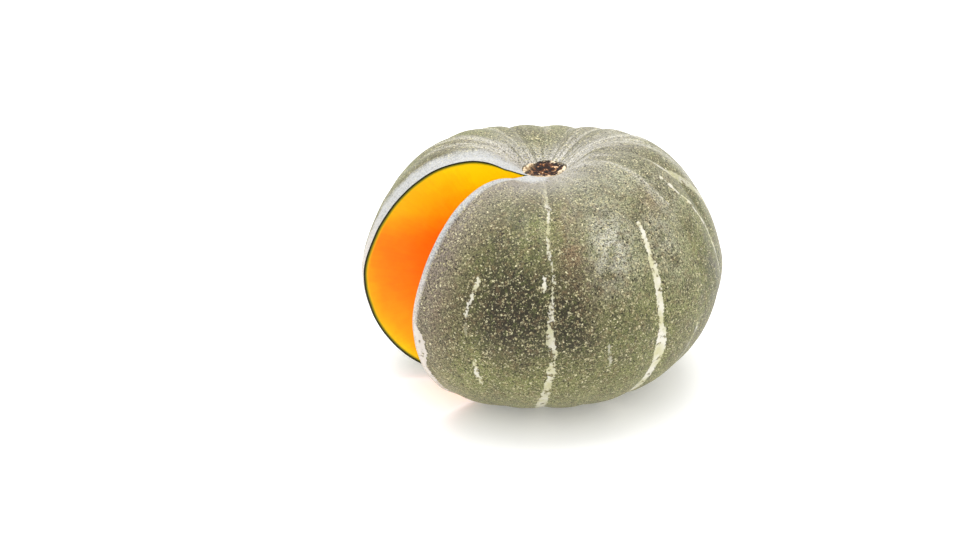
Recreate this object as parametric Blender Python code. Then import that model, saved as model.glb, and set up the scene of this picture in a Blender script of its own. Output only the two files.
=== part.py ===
"""A grey-green winter squash with one wedge cut out of it, standing on its blossom end.

Metres, +Z up. The origin lies on the resting plane, on the axis from blossom end to stem.
The wedge is gone from the -X side, so both cut faces and the seed hollow open towards -X.
An azimuth is measured from -Y towards +X, seen from above, as (sin, -cos). A share is a
distance from the axis divided by the fruit's radius.
"""

import math
import random

import bmesh
import bpy
from mathutils import Matrix, Vector, noise

# Driving dimensions of the fruit
RADIUS = 0.110
UPPER_HEIGHT = 0.0806
LOWER_HEIGHT = 0.0723
FLAT_SPOT_CUT = 0.0008
SHOULDER_POWER = 2.88
SHOULDER_ROOT = 1.54
BELLY_POWER = 3.72
BELLY_ROOT = 1.79
STEM_HOLLOW_DEPTH = 0.0207
STEM_HOLLOW_FLOOR = 0.0105
STEM_HOLLOW_WIDTH = 0.0263
STEM_HOLLOW_POWER = 1.3
STEM_HOLLOW_END_SHARE = 0.5

# How the fruit departs from a turned shape: an oval plan, and a shoulder of uneven height
OVAL_SHARE = 0.021
OVAL_AZIMUTH = math.radians(-72)
LEAN_SHARE = 0.030
LEAN_AZIMUTH = math.radians(123)
SADDLE_SHARE = 0.057
SADDLE_AZIMUTH = math.radians(55)
UNEVEN_START = 0.10
UNEVEN_FULL = 0.29
SWELL = 0.0012
SWELL_SIZE = 0.055
SWELL_FROM_SHARE = 0.4

# Ribs, between sutures that run from stem to blossom end
RIBS = 18
FIRST_SUTURE = math.radians(-25)
RIB_WANDER = math.radians(1.6)
RIB_DEPTH_SHOULDER = 0.0020
RIB_DEPTH_BELLY = 0.0012
MINOR_SUTURE_SHARE = 0.62
SUTURE_POWER = 2.2
SUTURE_START = 0.10
SUTURE_FULL = 0.35
SHOULDER_END = 0.72
BELLY_SUTURE_END = 0.30
BELLY_SUTURE_FULL = 0.65

# Blossom end: a corky button, level with the resting plane, in a shallow ring-shaped dip
BUTTON_RADIUS = 0.0045
DIP_RADIUS = 0.0090
DIP_WIDTH = 0.0032
DIP_DEPTH = 0.0022

# The wedge that was cut out
APEX = Vector((-0.0142, -0.0077, 0.0))
WEDGE_HALF_ANGLE = math.radians(20.6)
WEDGE_REACH = 0.2

# Seed cavity, the pulp in it and the hollow in the pulp
CAVITY_CENTRE = Vector((0.0, 0.0, 0.069))
CAVITY_RADIUS = 0.050
CAVITY_HALF_HEIGHT = 0.039
HOLLOW_CENTRE = Vector((-0.023, -0.0077, 0.069))
HOLLOW_SIZE = Vector((0.025, 0.016, 0.029))
PULP_LUMP = 0.0022
PULP_LUMP_SIZE = 0.008
PULP_RECESS = 0.0012

# Seeds, in rows round the hollow's back wall
SEED_LENGTH = 0.0165
SEED_WIDTH = 0.0095
SEED_THICKNESS = 0.0036
SEED_TAPER = 0.35
SEED_ROWS = 6
SEEDS_IN_ROW = 4
SEED_TOP_ROW = 0.78
SEED_STEP = math.radians(46)
SEED_SUNK_SHARE = 0.38
SEED_SCATTER = 0.05
SEED_LEAN = 0.75
SEED_ROLL = math.radians(50)

# Strands down the hollow's wall, half sunk in it
STRANDS = 7
STRAND_RADIUS = 0.0009
STRAND_SINK = 0.0002
STRAND_SPREAD = math.radians(150)
STRAND_TOP = 0.74
STRAND_WAVE = 0.18
STRAND_BOW = 0.15
RANDOM_SEED = 2

# Corky scar where the stem broke off
SCAR_RADIUS = 0.0128
SCAR_OVAL_SHARE = 0.10
SCAR_OVAL_AZIMUTH = math.radians(108)
SCAR_SINK = 0.0045
SCAR_WALL_SHARE = 0.8
SCAR_RIM_HEIGHT = 0.0016
SCAR_RIM_PLACE = 0.86
SCAR_RIM_WIDTH = 0.14
SCAR_BOWL_DEPTH = 0.0022
SCAR_BOWL_SHARE = 0.85
SCAR_LID = 0.02
SCAR_PIT_DEPTH = 0.0011
SCAR_PIT_SIZE = 0.0032

# Clearance between pieces that touch
GAP = 0.0004

# Mesh sizes
FRUIT_SEGMENTS = 90
FRUIT_RINGS = 32
RING_CROWDING = 0.34
CAVITY_SEGMENTS = 28
CAVITY_RINGS = 14
HOLLOW_SEGMENTS = 28
HOLLOW_RINGS = 18
SEED_SEGMENTS = 8
SEED_RINGS = 5
STRAND_POINTS = 9
SCAR_SEGMENTS = 36
SCAR_RINGS = 16
WELD = 1e-6


def clear_scene():
    """Empty the file of whatever it opened with."""
    for item in list(bpy.data.objects):
        bpy.data.objects.remove(item)


def collection(name):
    """A new collection under the scene's own."""
    made = bpy.data.collections.new(name)
    bpy.context.scene.collection.children.link(made)
    return made


def material(name, colour, roughness):
    """A Principled material with one colour."""
    made = bpy.data.materials.new(name)
    made.use_nodes = True
    shader = made.node_tree.nodes["Principled BSDF"]
    shader.inputs["Base Color"].default_value = (*colour, 1)
    shader.inputs["Roughness"].default_value = roughness
    shader.inputs["Metallic"].default_value = 0.0
    return made


def smooth(value, start=0.0, end=1.0):
    """Smooth step from 0 at the start to 1 at the end."""
    value = min(max((value - start) / (end - start), 0.0), 1.0)
    return value * value * (3 - 2 * value)


def bump(value, middle, width):
    """A bell of height 1 over the middle."""
    return math.exp(-(((value - middle) / width) ** 2))


def on_ring(radius, azimuth, height):
    """The point at a distance from the axis, an azimuth and a height."""
    return Vector((radius * math.sin(azimuth), -radius * math.cos(azimuth), height))


def ball(name, segments, rings, place, home):
    """A closed ball whose every vertex is moved by place(polar, azimuth)."""
    mesh = bpy.data.meshes.new(name)
    bm = bmesh.new()
    bmesh.ops.create_uvsphere(bm, u_segments=segments, v_segments=rings, radius=1.0)
    for vertex in bm.verts:
        polar = math.acos(max(-1.0, min(1.0, vertex.co.z)))
        azimuth = math.atan2(vertex.co.x, -vertex.co.y)
        vertex.co = place(polar, azimuth)
    bm.to_mesh(mesh)
    bm.free()
    made = bpy.data.objects.new(name, mesh)
    home.objects.link(made)
    return made


# The fruit


def plan_share(azimuth):
    """How far the oval plan reaches at an azimuth, as a share of the radius."""
    return 1 + OVAL_SHARE * math.cos(2 * (azimuth - OVAL_AZIMUTH))


def shoulder_share(azimuth):
    """How high the shoulder stands at an azimuth, as a share of the upper height."""
    lean = LEAN_SHARE * math.cos(azimuth - LEAN_AZIMUTH)
    saddle = SADDLE_SHARE * math.cos(2 * (azimuth - SADDLE_AZIMUTH))
    return 1 + lean + saddle


def skin_height(share, azimuth, upper):
    """Height over the equator at a share of the radius, ribs and flat spot left out."""
    if not upper:
        return -LOWER_HEIGHT * (1 - share**BELLY_POWER) ** (1 / BELLY_ROOT)
    rise = 1 + (shoulder_share(azimuth) - 1) * smooth(share, UNEVEN_START, UNEVEN_FULL)
    dome = UPPER_HEIGHT * rise * (1 - share**SHOULDER_POWER) ** (1 / SHOULDER_ROOT)
    return dome - stem_hollow(share)


def stem_hollow(share):
    """Depth of the hollow round the stem, flat under the scar and a funnel round it."""
    up_the_wall = max(share * RADIUS - STEM_HOLLOW_FLOOR, 0.0) / STEM_HOLLOW_WIDTH
    end = 1 - smooth(share, STEM_HOLLOW_END_SHARE, 1.0)
    return STEM_HOLLOW_DEPTH * math.exp(-(up_the_wall**STEM_HOLLOW_POWER)) * end


def suture_dip(share, azimuth, upper):
    """Depth of the rib pattern below the ribs' crests; every second suture is deeper."""
    wander = RIB_WANDER * (math.sin(2 * azimuth + 1) + 0.6 * math.sin(5 * azimuth + 2))
    phase = (azimuth + wander - FIRST_SUTURE) * RIBS / math.tau
    nearest = round(phase)
    valley = (1 - 2 * abs(phase - nearest)) ** SUTURE_POWER
    strength = 1.0 if nearest % 2 == 0 else MINOR_SUTURE_SHARE
    if upper:
        belly = smooth(share, SHOULDER_END, 1.0)
        depth = RIB_DEPTH_SHOULDER * (1 - belly) + RIB_DEPTH_BELLY * belly
    else:
        depth = RIB_DEPTH_BELLY * smooth(share, BELLY_SUTURE_END, BELLY_SUTURE_FULL)
    return depth * valley * strength * smooth(share, SUTURE_START, SUTURE_FULL)


def blossom_dip(radius):
    """Height of the ring-shaped dip round the blossom button."""
    if radius < BUTTON_RADIUS:
        return 0.0
    return DIP_DEPTH * bump(radius, DIP_RADIUS, DIP_WIDTH)


def skin_point(polar, azimuth):
    """A point of the fruit's skin; polar runs from 0 at the stem to pi at the blossom end."""
    share = math.sin(polar)
    upper = polar <= math.pi / 2
    radius = RADIUS * plan_share(azimuth) * share
    point = on_ring(radius, azimuth, skin_height(share, azimuth, upper))
    swell = SWELL * noise.noise(point / SWELL_SIZE) * smooth(share, end=SWELL_FROM_SHARE)
    point *= 1 + (swell - suture_dip(share, azimuth, upper)) / point.length
    point.z = max(point.z + LOWER_HEIGHT - FLAT_SPOT_CUT, 0.0)
    if not upper:
        point.z += blossom_dip(radius)
    return point


def crowded_to_the_ends(polar):
    """Draws the ball's rings closer together at the stem and at the blossom end."""
    return polar - RING_CROWDING * math.sin(2 * polar)


def fruit_body(home):
    """The whole fruit, before the knife."""
    return ball(
        "fruit",
        FRUIT_SEGMENTS,
        FRUIT_RINGS,
        lambda polar, azimuth: skin_point(crowded_to_the_ends(polar), azimuth),
        home,
    )


# The cuts


def meshed(curve, home):
    """A curve object turned into a mesh object with its caps welded."""
    home.objects.link(curve)
    bpy.context.view_layer.update()
    name = curve.name
    graph = bpy.context.evaluated_depsgraph_get()
    mesh = bpy.data.meshes.new_from_object(curve.evaluated_get(graph))
    bpy.data.objects.remove(curve)
    bm = bmesh.new()
    bm.from_mesh(mesh)
    bmesh.ops.remove_doubles(bm, verts=bm.verts, dist=WELD)
    bmesh.ops.recalc_face_normals(bm, faces=bm.faces)
    bm.to_mesh(mesh)
    bm.free()
    made = bpy.data.objects.new(name, mesh)
    home.objects.link(made)
    return made


def wedge(name, recess, home):
    """The space of the missing wedge, each of its faces moved into the fruit by the recess."""
    back = recess / math.sin(WEDGE_HALF_ANGLE)
    spread = (WEDGE_REACH + back) * math.tan(WEDGE_HALF_ANGLE)
    outline = bpy.data.curves.new(name, "CURVE")
    outline.dimensions = "2D"
    outline.fill_mode = "BOTH"
    outline.extrude = WEDGE_REACH
    line = outline.splines.new("POLY")
    corners = (
        APEX + Vector((back, 0, 0)),
        APEX + Vector((-WEDGE_REACH, spread, 0)),
        APEX + Vector((-WEDGE_REACH, -spread, 0)),
    )
    line.points.add(len(corners) - 1)
    for point, corner in zip(line.points, corners):
        point.co = (*corner, 1)
    line.use_cyclic_u = True
    return meshed(bpy.data.objects.new(name, outline), home)


def lumpy(point, centre):
    """A point moved out from the centre, or towards it, by soft noise."""
    out = (point - centre).normalized()
    return point + out * PULP_LUMP * noise.noise(point / PULP_LUMP_SIZE)


def ellipsoid(name, centre, size, segments, rings, home, lumps=False):
    """A closed ellipsoid, smooth or lumpy."""

    def place(polar, azimuth):
        unit = on_ring(math.sin(polar), azimuth, math.cos(polar))
        point = centre + unit * size
        return lumpy(point, centre) if lumps else point

    return ball(name, segments, rings, place, home)


def cut(target, cutter):
    """A live Boolean that takes the cutter's space out of the target."""
    cutter.hide_render = True
    cutter.display_type = "WIRE"
    step = target.modifiers.new(cutter.name, "BOOLEAN")
    step.operation = "DIFFERENCE"
    step.solver = "EXACT"
    step.object = cutter


def applied(target):
    """The target with its modifiers' result as its own mesh."""
    bpy.context.view_layer.update()
    graph = bpy.context.evaluated_depsgraph_get()
    mesh = bpy.data.meshes.new_from_object(target.evaluated_get(graph))
    target.modifiers.clear()
    target.data = mesh
    return target


def largest_shell(target):
    """Drops the crumbs and the sealed pockets that a union leaves, and keeps the main shell."""
    bm = bmesh.new()
    bm.from_mesh(target.data)
    left = set(bm.faces)
    shells = []
    while left:
        shell = set()
        waiting = [left.pop()]
        while waiting:
            face = waiting.pop()
            shell.add(face)
            beside = {other for edge in face.edges for other in edge.link_faces} & left
            left -= beside
            waiting.extend(beside)
        shells.append(shell)
    kept = max(shells, key=len)
    loose = [face for face in bm.faces if face not in kept]
    bmesh.ops.delete(bm, geom=loose, context="FACES")
    bm.to_mesh(target.data)
    bm.free()


# The stem scar


def scar_outline(azimuth):
    """The scar's uneven radius."""
    oval = SCAR_OVAL_SHARE * math.cos(2 * (azimuth - SCAR_OVAL_AZIMUTH))
    return SCAR_RADIUS * (1 + oval + 0.035 * math.sin(5 * azimuth + 1.1))


def scar_level():
    """Height of the skin where the scar sits."""
    return skin_point(0.0, 0.0).z


def scar_top(share, x, y):
    """Height of the scar's face over the skin: a rim, a bowl inside it and pits."""
    rim = SCAR_RIM_HEIGHT * bump(share, SCAR_RIM_PLACE, SCAR_RIM_WIDTH)
    bowl = -SCAR_BOWL_DEPTH * (1 - smooth(share, end=SCAR_BOWL_SHARE))
    pits = SCAR_PIT_DEPTH * noise.noise(Vector((x, y, 0.0)) / SCAR_PIT_SIZE)
    return rim + bowl + pits * (1 - smooth(share, SCAR_RIM_PLACE))


def scar_point(polar, azimuth, grow=0.0, lid=0.0):
    """A point of the scar's plug, or of its socket when it is grown by the clearance."""
    turned = math.sin(polar)
    share = min(turned / SCAR_WALL_SHARE, 1.0)
    point = on_ring((scar_outline(azimuth) + grow) * share, azimuth, scar_level())
    if polar > math.pi / 2:
        end = -SCAR_SINK - grow
    elif lid:
        end = lid
    else:
        end = scar_top(share, point.x, point.y)
    down_the_wall = max(turned - SCAR_WALL_SHARE, 0.0) / (1 - SCAR_WALL_SHARE)
    point.z += end + (-0.5 * SCAR_SINK - end) * down_the_wall
    return point


def stem_scar(home):
    """The corky plug left in the fruit where the stem broke away."""
    return ball("stem_scar", SCAR_SEGMENTS, SCAR_RINGS, scar_point, home)


def scar_socket(home):
    """The space that the plug takes up in the fruit, open at the top."""
    return ball(
        "scar_socket",
        SCAR_SEGMENTS,
        SCAR_RINGS,
        lambda polar, azimuth: scar_point(polar, azimuth, grow=GAP, lid=SCAR_LID),
        home,
    )


# Pulp, seeds and strands


def hollow_point(turn, height):
    """A point on the hollow's wall and its outward direction; turn 0 looks along +X."""
    flat = math.sqrt(1 - height * height)
    unit = Vector((flat * math.cos(turn), flat * math.sin(turn), height))
    point = lumpy(HOLLOW_CENTRE + unit * HOLLOW_SIZE, HOLLOW_CENTRE)
    out = Vector(a / b for a, b in zip(unit, HOLLOW_SIZE)).normalized()
    return point, out


def seed_point(polar, azimuth):
    """A point of one flat seed that narrows towards +Z, the end that grows from the pulp."""
    width = 0.5 * SEED_WIDTH * (1 - SEED_TAPER * math.cos(polar))
    return Vector(
        (
            width * math.sin(polar) * math.sin(azimuth),
            -0.5 * SEED_THICKNESS * math.sin(polar) * math.cos(azimuth),
            0.5 * SEED_LENGTH * math.cos(polar),
        )
    )


def seed_places():
    """Where each seed sits: rows round the hollow's back wall, tips sunk in the pulp."""
    draw = random.Random(RANDOM_SEED)
    for row in range(SEED_ROWS):
        height = SEED_TOP_ROW * (2 * row / (SEED_ROWS - 1) - 1)
        for step in range(SEEDS_IN_ROW):
            spread = step - (SEEDS_IN_ROW - 1) / 2 + (0.25 if row % 2 else -0.25)
            turn = spread * SEED_STEP + draw.uniform(-2, 2) * SEED_SCATTER
            point, out = hollow_point(turn, height + draw.uniform(-1, 1) * SEED_SCATTER)
            side = out.cross(Vector((0, 0, 1))).normalized()
            along = out + side * draw.uniform(-1, 1) * SEED_LEAN
            along.z += draw.uniform(-1, 1) * SEED_LEAN
            along.normalize()
            face = along.cross(Vector((0, 0, 1))).normalized()
            face = Matrix.Rotation(draw.uniform(-1, 1) * SEED_ROLL, 3, along) @ face
            turned = Matrix((face.cross(along), face, along)).transposed().to_4x4()
            middle = point - along * (0.5 - SEED_SUNK_SHARE) * SEED_LENGTH
            yield Matrix.Translation(middle) @ turned


def seeds(home):
    """The seeds, each a ball flattened and turned into its place."""
    for index, place in enumerate(seed_places()):
        made = ball(f"seed_{index:02d}", SEED_SEGMENTS, SEED_RINGS, seed_point, home)
        made.data.transform(place)


def strands(home):
    """Limp fibres that lie along the hollow's wall, from above to below."""
    draw = random.Random(RANDOM_SEED + 1)
    for index in range(STRANDS):
        start = STRAND_SPREAD * (index / (STRANDS - 1) - 0.5)
        bow = draw.uniform(-1, 1) * STRAND_BOW
        curve = bpy.data.curves.new(f"strand_{index}", "CURVE")
        curve.dimensions = "3D"
        curve.bevel_depth = STRAND_RADIUS
        curve.bevel_resolution = 1
        curve.use_fill_caps = True
        line = curve.splines.new("POLY")
        line.points.add(STRAND_POINTS - 1)
        for step, point in enumerate(line.points):
            height = STRAND_TOP * (1 - 2 * step / (STRAND_POINTS - 1))
            wave = STRAND_WAVE * math.sin(2.2 * step + index) + bow * height
            spot, out = hollow_point(start + wave, height)
            point.co = (*(spot + out * STRAND_SINK), 1)
        meshed(bpy.data.objects.new(f"strand_{index}", curve), home)


def seed_pulp(home, cutters):
    """The pulp that lines the cavity, with its strands and seeds grown on."""
    size = Vector((CAVITY_RADIUS - GAP, CAVITY_RADIUS - GAP, CAVITY_HALF_HEIGHT - GAP))
    pulp = ellipsoid("seed_pulp", CAVITY_CENTRE, size, CAVITY_SEGMENTS, CAVITY_RINGS, home)
    hollow = ellipsoid(
        "seed_hollow",
        HOLLOW_CENTRE,
        HOLLOW_SIZE,
        HOLLOW_SEGMENTS,
        HOLLOW_RINGS,
        cutters,
        lumps=True,
    )
    cut(pulp, wedge("pulp_wedge", PULP_RECESS, cutters))
    cut(pulp, hollow)
    applied(pulp)
    grown = collection("grown_on_the_pulp")
    seeds(grown)
    strands(grown)
    join = pulp.modifiers.new("grown_on", "BOOLEAN")
    join.operation = "UNION"
    join.solver = "MANIFOLD"
    join.operand_type = "COLLECTION"
    join.collection = grown
    applied(pulp)
    largest_shell(pulp)
    for item in list(grown.objects):
        bpy.data.objects.remove(item)
    bpy.data.collections.remove(grown)
    return pulp


def finish(item, finish_material):
    """Gives a piece its material and smooth shading with sharp cut edges."""
    item.data.materials.clear()
    item.data.materials.append(finish_material)
    item.data.shade_smooth()
    item.data.set_sharp_from_angle(angle=math.radians(40))


def main():
    """Builds the pumpkin."""
    clear_scene()
    pumpkin = collection("pumpkin")
    cutters = collection("cutters")
    fruit = fruit_body(pumpkin)
    scar = stem_scar(pumpkin)
    pulp = seed_pulp(pumpkin, cutters)
    cavity = ellipsoid(
        "seed_cavity",
        CAVITY_CENTRE,
        Vector((CAVITY_RADIUS, CAVITY_RADIUS, CAVITY_HALF_HEIGHT)),
        CAVITY_SEGMENTS,
        CAVITY_RINGS,
        cutters,
    )
    cut(fruit, cavity)
    cut(fruit, wedge("missing_wedge", 0.0, cutters))
    cut(fruit, scar_socket(cutters))
    finish(fruit, material("skin", (0.16, 0.16, 0.11), 0.6))
    finish(scar, material("cork", (0.16, 0.08, 0.04), 0.9))
    finish(pulp, material("pulp", (0.90, 0.38, 0.03), 0.5))


main()
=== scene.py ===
"""Dresses the cut pumpkin: skin, cut flesh, stem scar, seed pulp, strands and seeds.

Metres, +Z up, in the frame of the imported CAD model: the origin lies on the resting plane, under
the axis from blossom end to stem, and the wedge is missing from the -X side. An azimuth is
measured from -Y towards +X, seen from above, as (sin, -cos). A share is a distance from the axis
divided by the fruit's radius. A place on the skin is given by its azimuth in degrees and by how
many millimetres of skin lie between it and the middle of the stem scar.
"""

import logging
import math
import random
from collections.abc import Callable, Iterator
from dataclasses import dataclass, field
from enum import Enum

import bpy
import numpy as np
from mathutils import Matrix, Vector, noise


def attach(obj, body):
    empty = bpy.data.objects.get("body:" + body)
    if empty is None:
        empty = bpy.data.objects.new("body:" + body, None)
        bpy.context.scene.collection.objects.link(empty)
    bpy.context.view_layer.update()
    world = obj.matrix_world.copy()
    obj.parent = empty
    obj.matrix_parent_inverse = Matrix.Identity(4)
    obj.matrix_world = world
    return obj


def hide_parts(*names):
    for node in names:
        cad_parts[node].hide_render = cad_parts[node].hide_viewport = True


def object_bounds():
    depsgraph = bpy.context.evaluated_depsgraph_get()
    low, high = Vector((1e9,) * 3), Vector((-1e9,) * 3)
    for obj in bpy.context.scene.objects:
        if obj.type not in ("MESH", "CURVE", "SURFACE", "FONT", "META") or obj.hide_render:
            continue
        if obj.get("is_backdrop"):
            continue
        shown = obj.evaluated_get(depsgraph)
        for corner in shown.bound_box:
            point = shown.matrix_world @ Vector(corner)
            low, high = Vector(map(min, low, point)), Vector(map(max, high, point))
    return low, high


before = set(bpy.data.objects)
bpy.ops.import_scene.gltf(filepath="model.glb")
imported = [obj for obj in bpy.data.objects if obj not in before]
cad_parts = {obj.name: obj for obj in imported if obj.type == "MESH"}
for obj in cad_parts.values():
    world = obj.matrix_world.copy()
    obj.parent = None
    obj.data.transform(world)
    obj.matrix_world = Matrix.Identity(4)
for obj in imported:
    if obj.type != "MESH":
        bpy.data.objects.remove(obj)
CAD_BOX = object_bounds()
LOG = logging.getLogger("pumpkin")

MM = 0.001
WELD = 2e-6
SKIN_MAP_MM = 320.0
BODY = "root"


class Slot(Enum):
    """The names of the record's material slots."""

    SKIN = "skin"
    CORK = "cork"
    PULP = "pulp"
    SEED = "seed"


class Cut(Enum):
    """The two faces that the knife left; the value is the sign of each one's way along Y."""

    NEAR = -1
    FAR = 1


# Small tools


def linear(code: str) -> tuple[float, float, float, float]:
    """Turns an sRGB hex code into linear RGBA.

    Args:
        code: Six hex digits after a hash.

    Returns:
        Red, green, blue and an alpha of 1.
    """
    levels = [int(code[place : place + 2], 16) / 255 for place in (1, 3, 5)]
    red, green, blue = (
        level / 12.92 if level <= 0.04045 else ((level + 0.055) / 1.055) ** 2.4 for level in levels
    )
    return red, green, blue, 1.0


def smooth(value: float, start: float = 0.0, end: float = 1.0) -> float:
    """Smooth step from 0 at the start to 1 at the end."""
    value = min(max((value - start) / (end - start), 0.0), 1.0)
    return value * value * (3 - 2 * value)


def bump(value: float, middle: float, width: float) -> float:
    """A bell of height 1 over the middle."""
    return math.exp(-(((value - middle) / width) ** 2))


def on_ring(radius: float, azimuth: float, height: float) -> Vector:
    """The point at a distance from the axis, an azimuth and a height."""
    return Vector((radius * math.sin(azimuth), -radius * math.cos(azimuth), height))


def feed(tree: bpy.types.NodeTree, node: bpy.types.Node, inputs: dict) -> None:
    """Sets or links a node's inputs.

    Args:
        tree: The material's node tree.
        node: The node.
        inputs: Value or linked output socket for each input, by name or number.
    """
    for key, value in inputs.items():
        if isinstance(value, bpy.types.NodeSocket):
            tree.links.new(value, node.inputs[key])
        else:
            node.inputs[key].default_value = value


def add_node(
    tree: bpy.types.NodeTree, kind: str, inputs: dict | None = None, **settings: object
) -> bpy.types.Node:
    """Adds a node with its settings, its values and its links.

    Args:
        tree: The material's node tree.
        kind: The node's Blender name after "ShaderNode".
        inputs: Value or linked output socket for each input, by name or number.
        **settings: Properties of the node itself.

    Returns:
        The new node.
    """
    node = tree.nodes.new(f"ShaderNode{kind}")
    for name, value in settings.items():
        setattr(node, name, value)
    feed(tree, node, inputs or {})
    return node


def new_material(name: str) -> tuple[bpy.types.Material, bpy.types.NodeTree, bpy.types.NodeSocket]:
    """Starts a material.

    Args:
        name: What the finish is.

    Returns:
        The material, its node tree, and the place on the piece as Object coordinates.
    """
    made = bpy.data.materials.new(name)
    made.use_nodes = True
    where = add_node(made.node_tree, "TexCoord").outputs["Object"]
    return made, made.node_tree, where


def finish_shader(
    tree: bpy.types.NodeTree, colour: bpy.types.NodeSocket, relief: bpy.types.Node, values: dict
) -> None:
    """Gives a material's shader its colour, its relief and its other values."""
    inputs = {"Base Color": colour, "Normal": relief.outputs[0]}
    feed(tree, tree.nodes["Principled BSDF"], inputs | values)


def colour_bands(
    tree: bpy.types.NodeTree,
    value: bpy.types.NodeSocket,
    bands: tuple[tuple[float, str], ...],
    span: float = 1.0,
) -> bpy.types.NodeSocket:
    """A colour that changes along a value.

    Args:
        tree: The material's node tree.
        value: The value, from 0 to the span.
        bands: Pairs of value and colour, from the lowest up.
        span: The value at the end of the bands.

    Returns:
        The colour's socket.
    """
    share = add_node(tree, "Math", {0: value, 1: span}, operation="DIVIDE", use_clamp=True)
    banded = add_node(tree, "ValToRGB", {"Fac": share.outputs[0]})
    stops = banded.color_ramp.elements
    while len(stops) < len(bands):
        stops.new(0.5)
    for stop, (place, code) in zip(stops, bands):
        stop.position = place / span
        stop.color = linear(code)
    return banded.outputs["Color"]


def select_only(*pieces: bpy.types.Object) -> None:
    """Leaves only these pieces selected, the first one active."""
    bpy.ops.object.select_all(action="DESELECT")
    for piece in pieces:
        piece.select_set(True)
    bpy.context.view_layer.objects.active = pieces[0]


def tidy_mesh(piece: bpy.types.Object, weld: float = WELD) -> None:
    """Merges doubles and turns every face outwards, in edit mode."""
    select_only(piece)
    bpy.ops.object.mode_set(mode="EDIT")
    bpy.ops.mesh.select_all(action="SELECT")
    bpy.ops.mesh.remove_doubles(threshold=weld)
    bpy.ops.mesh.normals_make_consistent(inside=False)
    bpy.ops.object.mode_set(mode="OBJECT")


def joined(name: str, pieces: list[bpy.types.Object]) -> bpy.types.Object:
    """Joins pieces into the first one and names it."""
    select_only(*pieces)
    bpy.ops.object.join()
    whole = bpy.context.view_layer.objects.active
    whole.name = name
    whole.data.name = name
    return whole


def apply_modifier(piece: bpy.types.Object, kind: str, **settings: object) -> None:
    """Adds a modifier with its settings and applies it."""
    select_only(piece)
    step = piece.modifiers.new(kind.title(), kind)
    for name, value in settings.items():
        setattr(step, name, value)
    bpy.ops.object.modifier_apply(modifier=step.name)


def displaced(piece: bpy.types.Object, move: Callable[[Vector, Vector], Vector]) -> None:
    """Moves every vertex by a rule.

    Args:
        piece: The mesh object.
        move: Takes a vertex's place and normal, and returns its new place.
    """
    mesh = piece.data
    moved = [move(vertex.co, vertex.normal) for vertex in mesh.vertices]
    for vertex, place in zip(mesh.vertices, moved):
        vertex.co = place
    mesh.update()


@dataclass
class Spot:
    """Where one vertex of a sheet goes, and what its finish needs to know there."""

    place: Vector
    skin_map: tuple[float, float] = (0.0, 0.0)
    marks: dict[str, float] = field(default_factory=dict)


@dataclass
class Sheet:
    """A grid primitive of rows and columns whose vertices are moved to a shape."""

    name: str
    rows: int
    columns: int

    def shaped(self, spot_at: Callable[[int, int], Spot]) -> bpy.types.Object:
        """Adds the grid and moves its vertices.

        Args:
            spot_at: Takes a row and a column, and says where that vertex goes.

        Returns:
            The new mesh object, with a map named skin_map and one attribute for each mark.
        """
        bpy.ops.object.select_all(action="DESELECT")
        bpy.ops.mesh.primitive_grid_add(
            x_subdivisions=self.columns, y_subdivisions=self.rows, size=2.0
        )
        piece = bpy.context.object
        piece.name = self.name
        mesh = piece.data
        spots = []
        for vertex in mesh.vertices:
            row = round((vertex.co.y + 1) / 2 * self.rows)
            column = round((vertex.co.x + 1) / 2 * self.columns)
            spots.append(spot_at(row, column))
        for vertex, spot in zip(mesh.vertices, spots):
            vertex.co = spot.place
        layer = mesh.uv_layers[0]
        layer.name = "skin_map"
        for loop in mesh.loops:
            layer.data[loop.index].uv = spots[loop.vertex_index].skin_map
        for mark in spots[0].marks:
            made = mesh.attributes.new(mark, "FLOAT", "POINT")
            made.data.foreach_set("value", [spot.marks[mark] for spot in spots])
        return piece


# The fruit's grown shape


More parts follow.
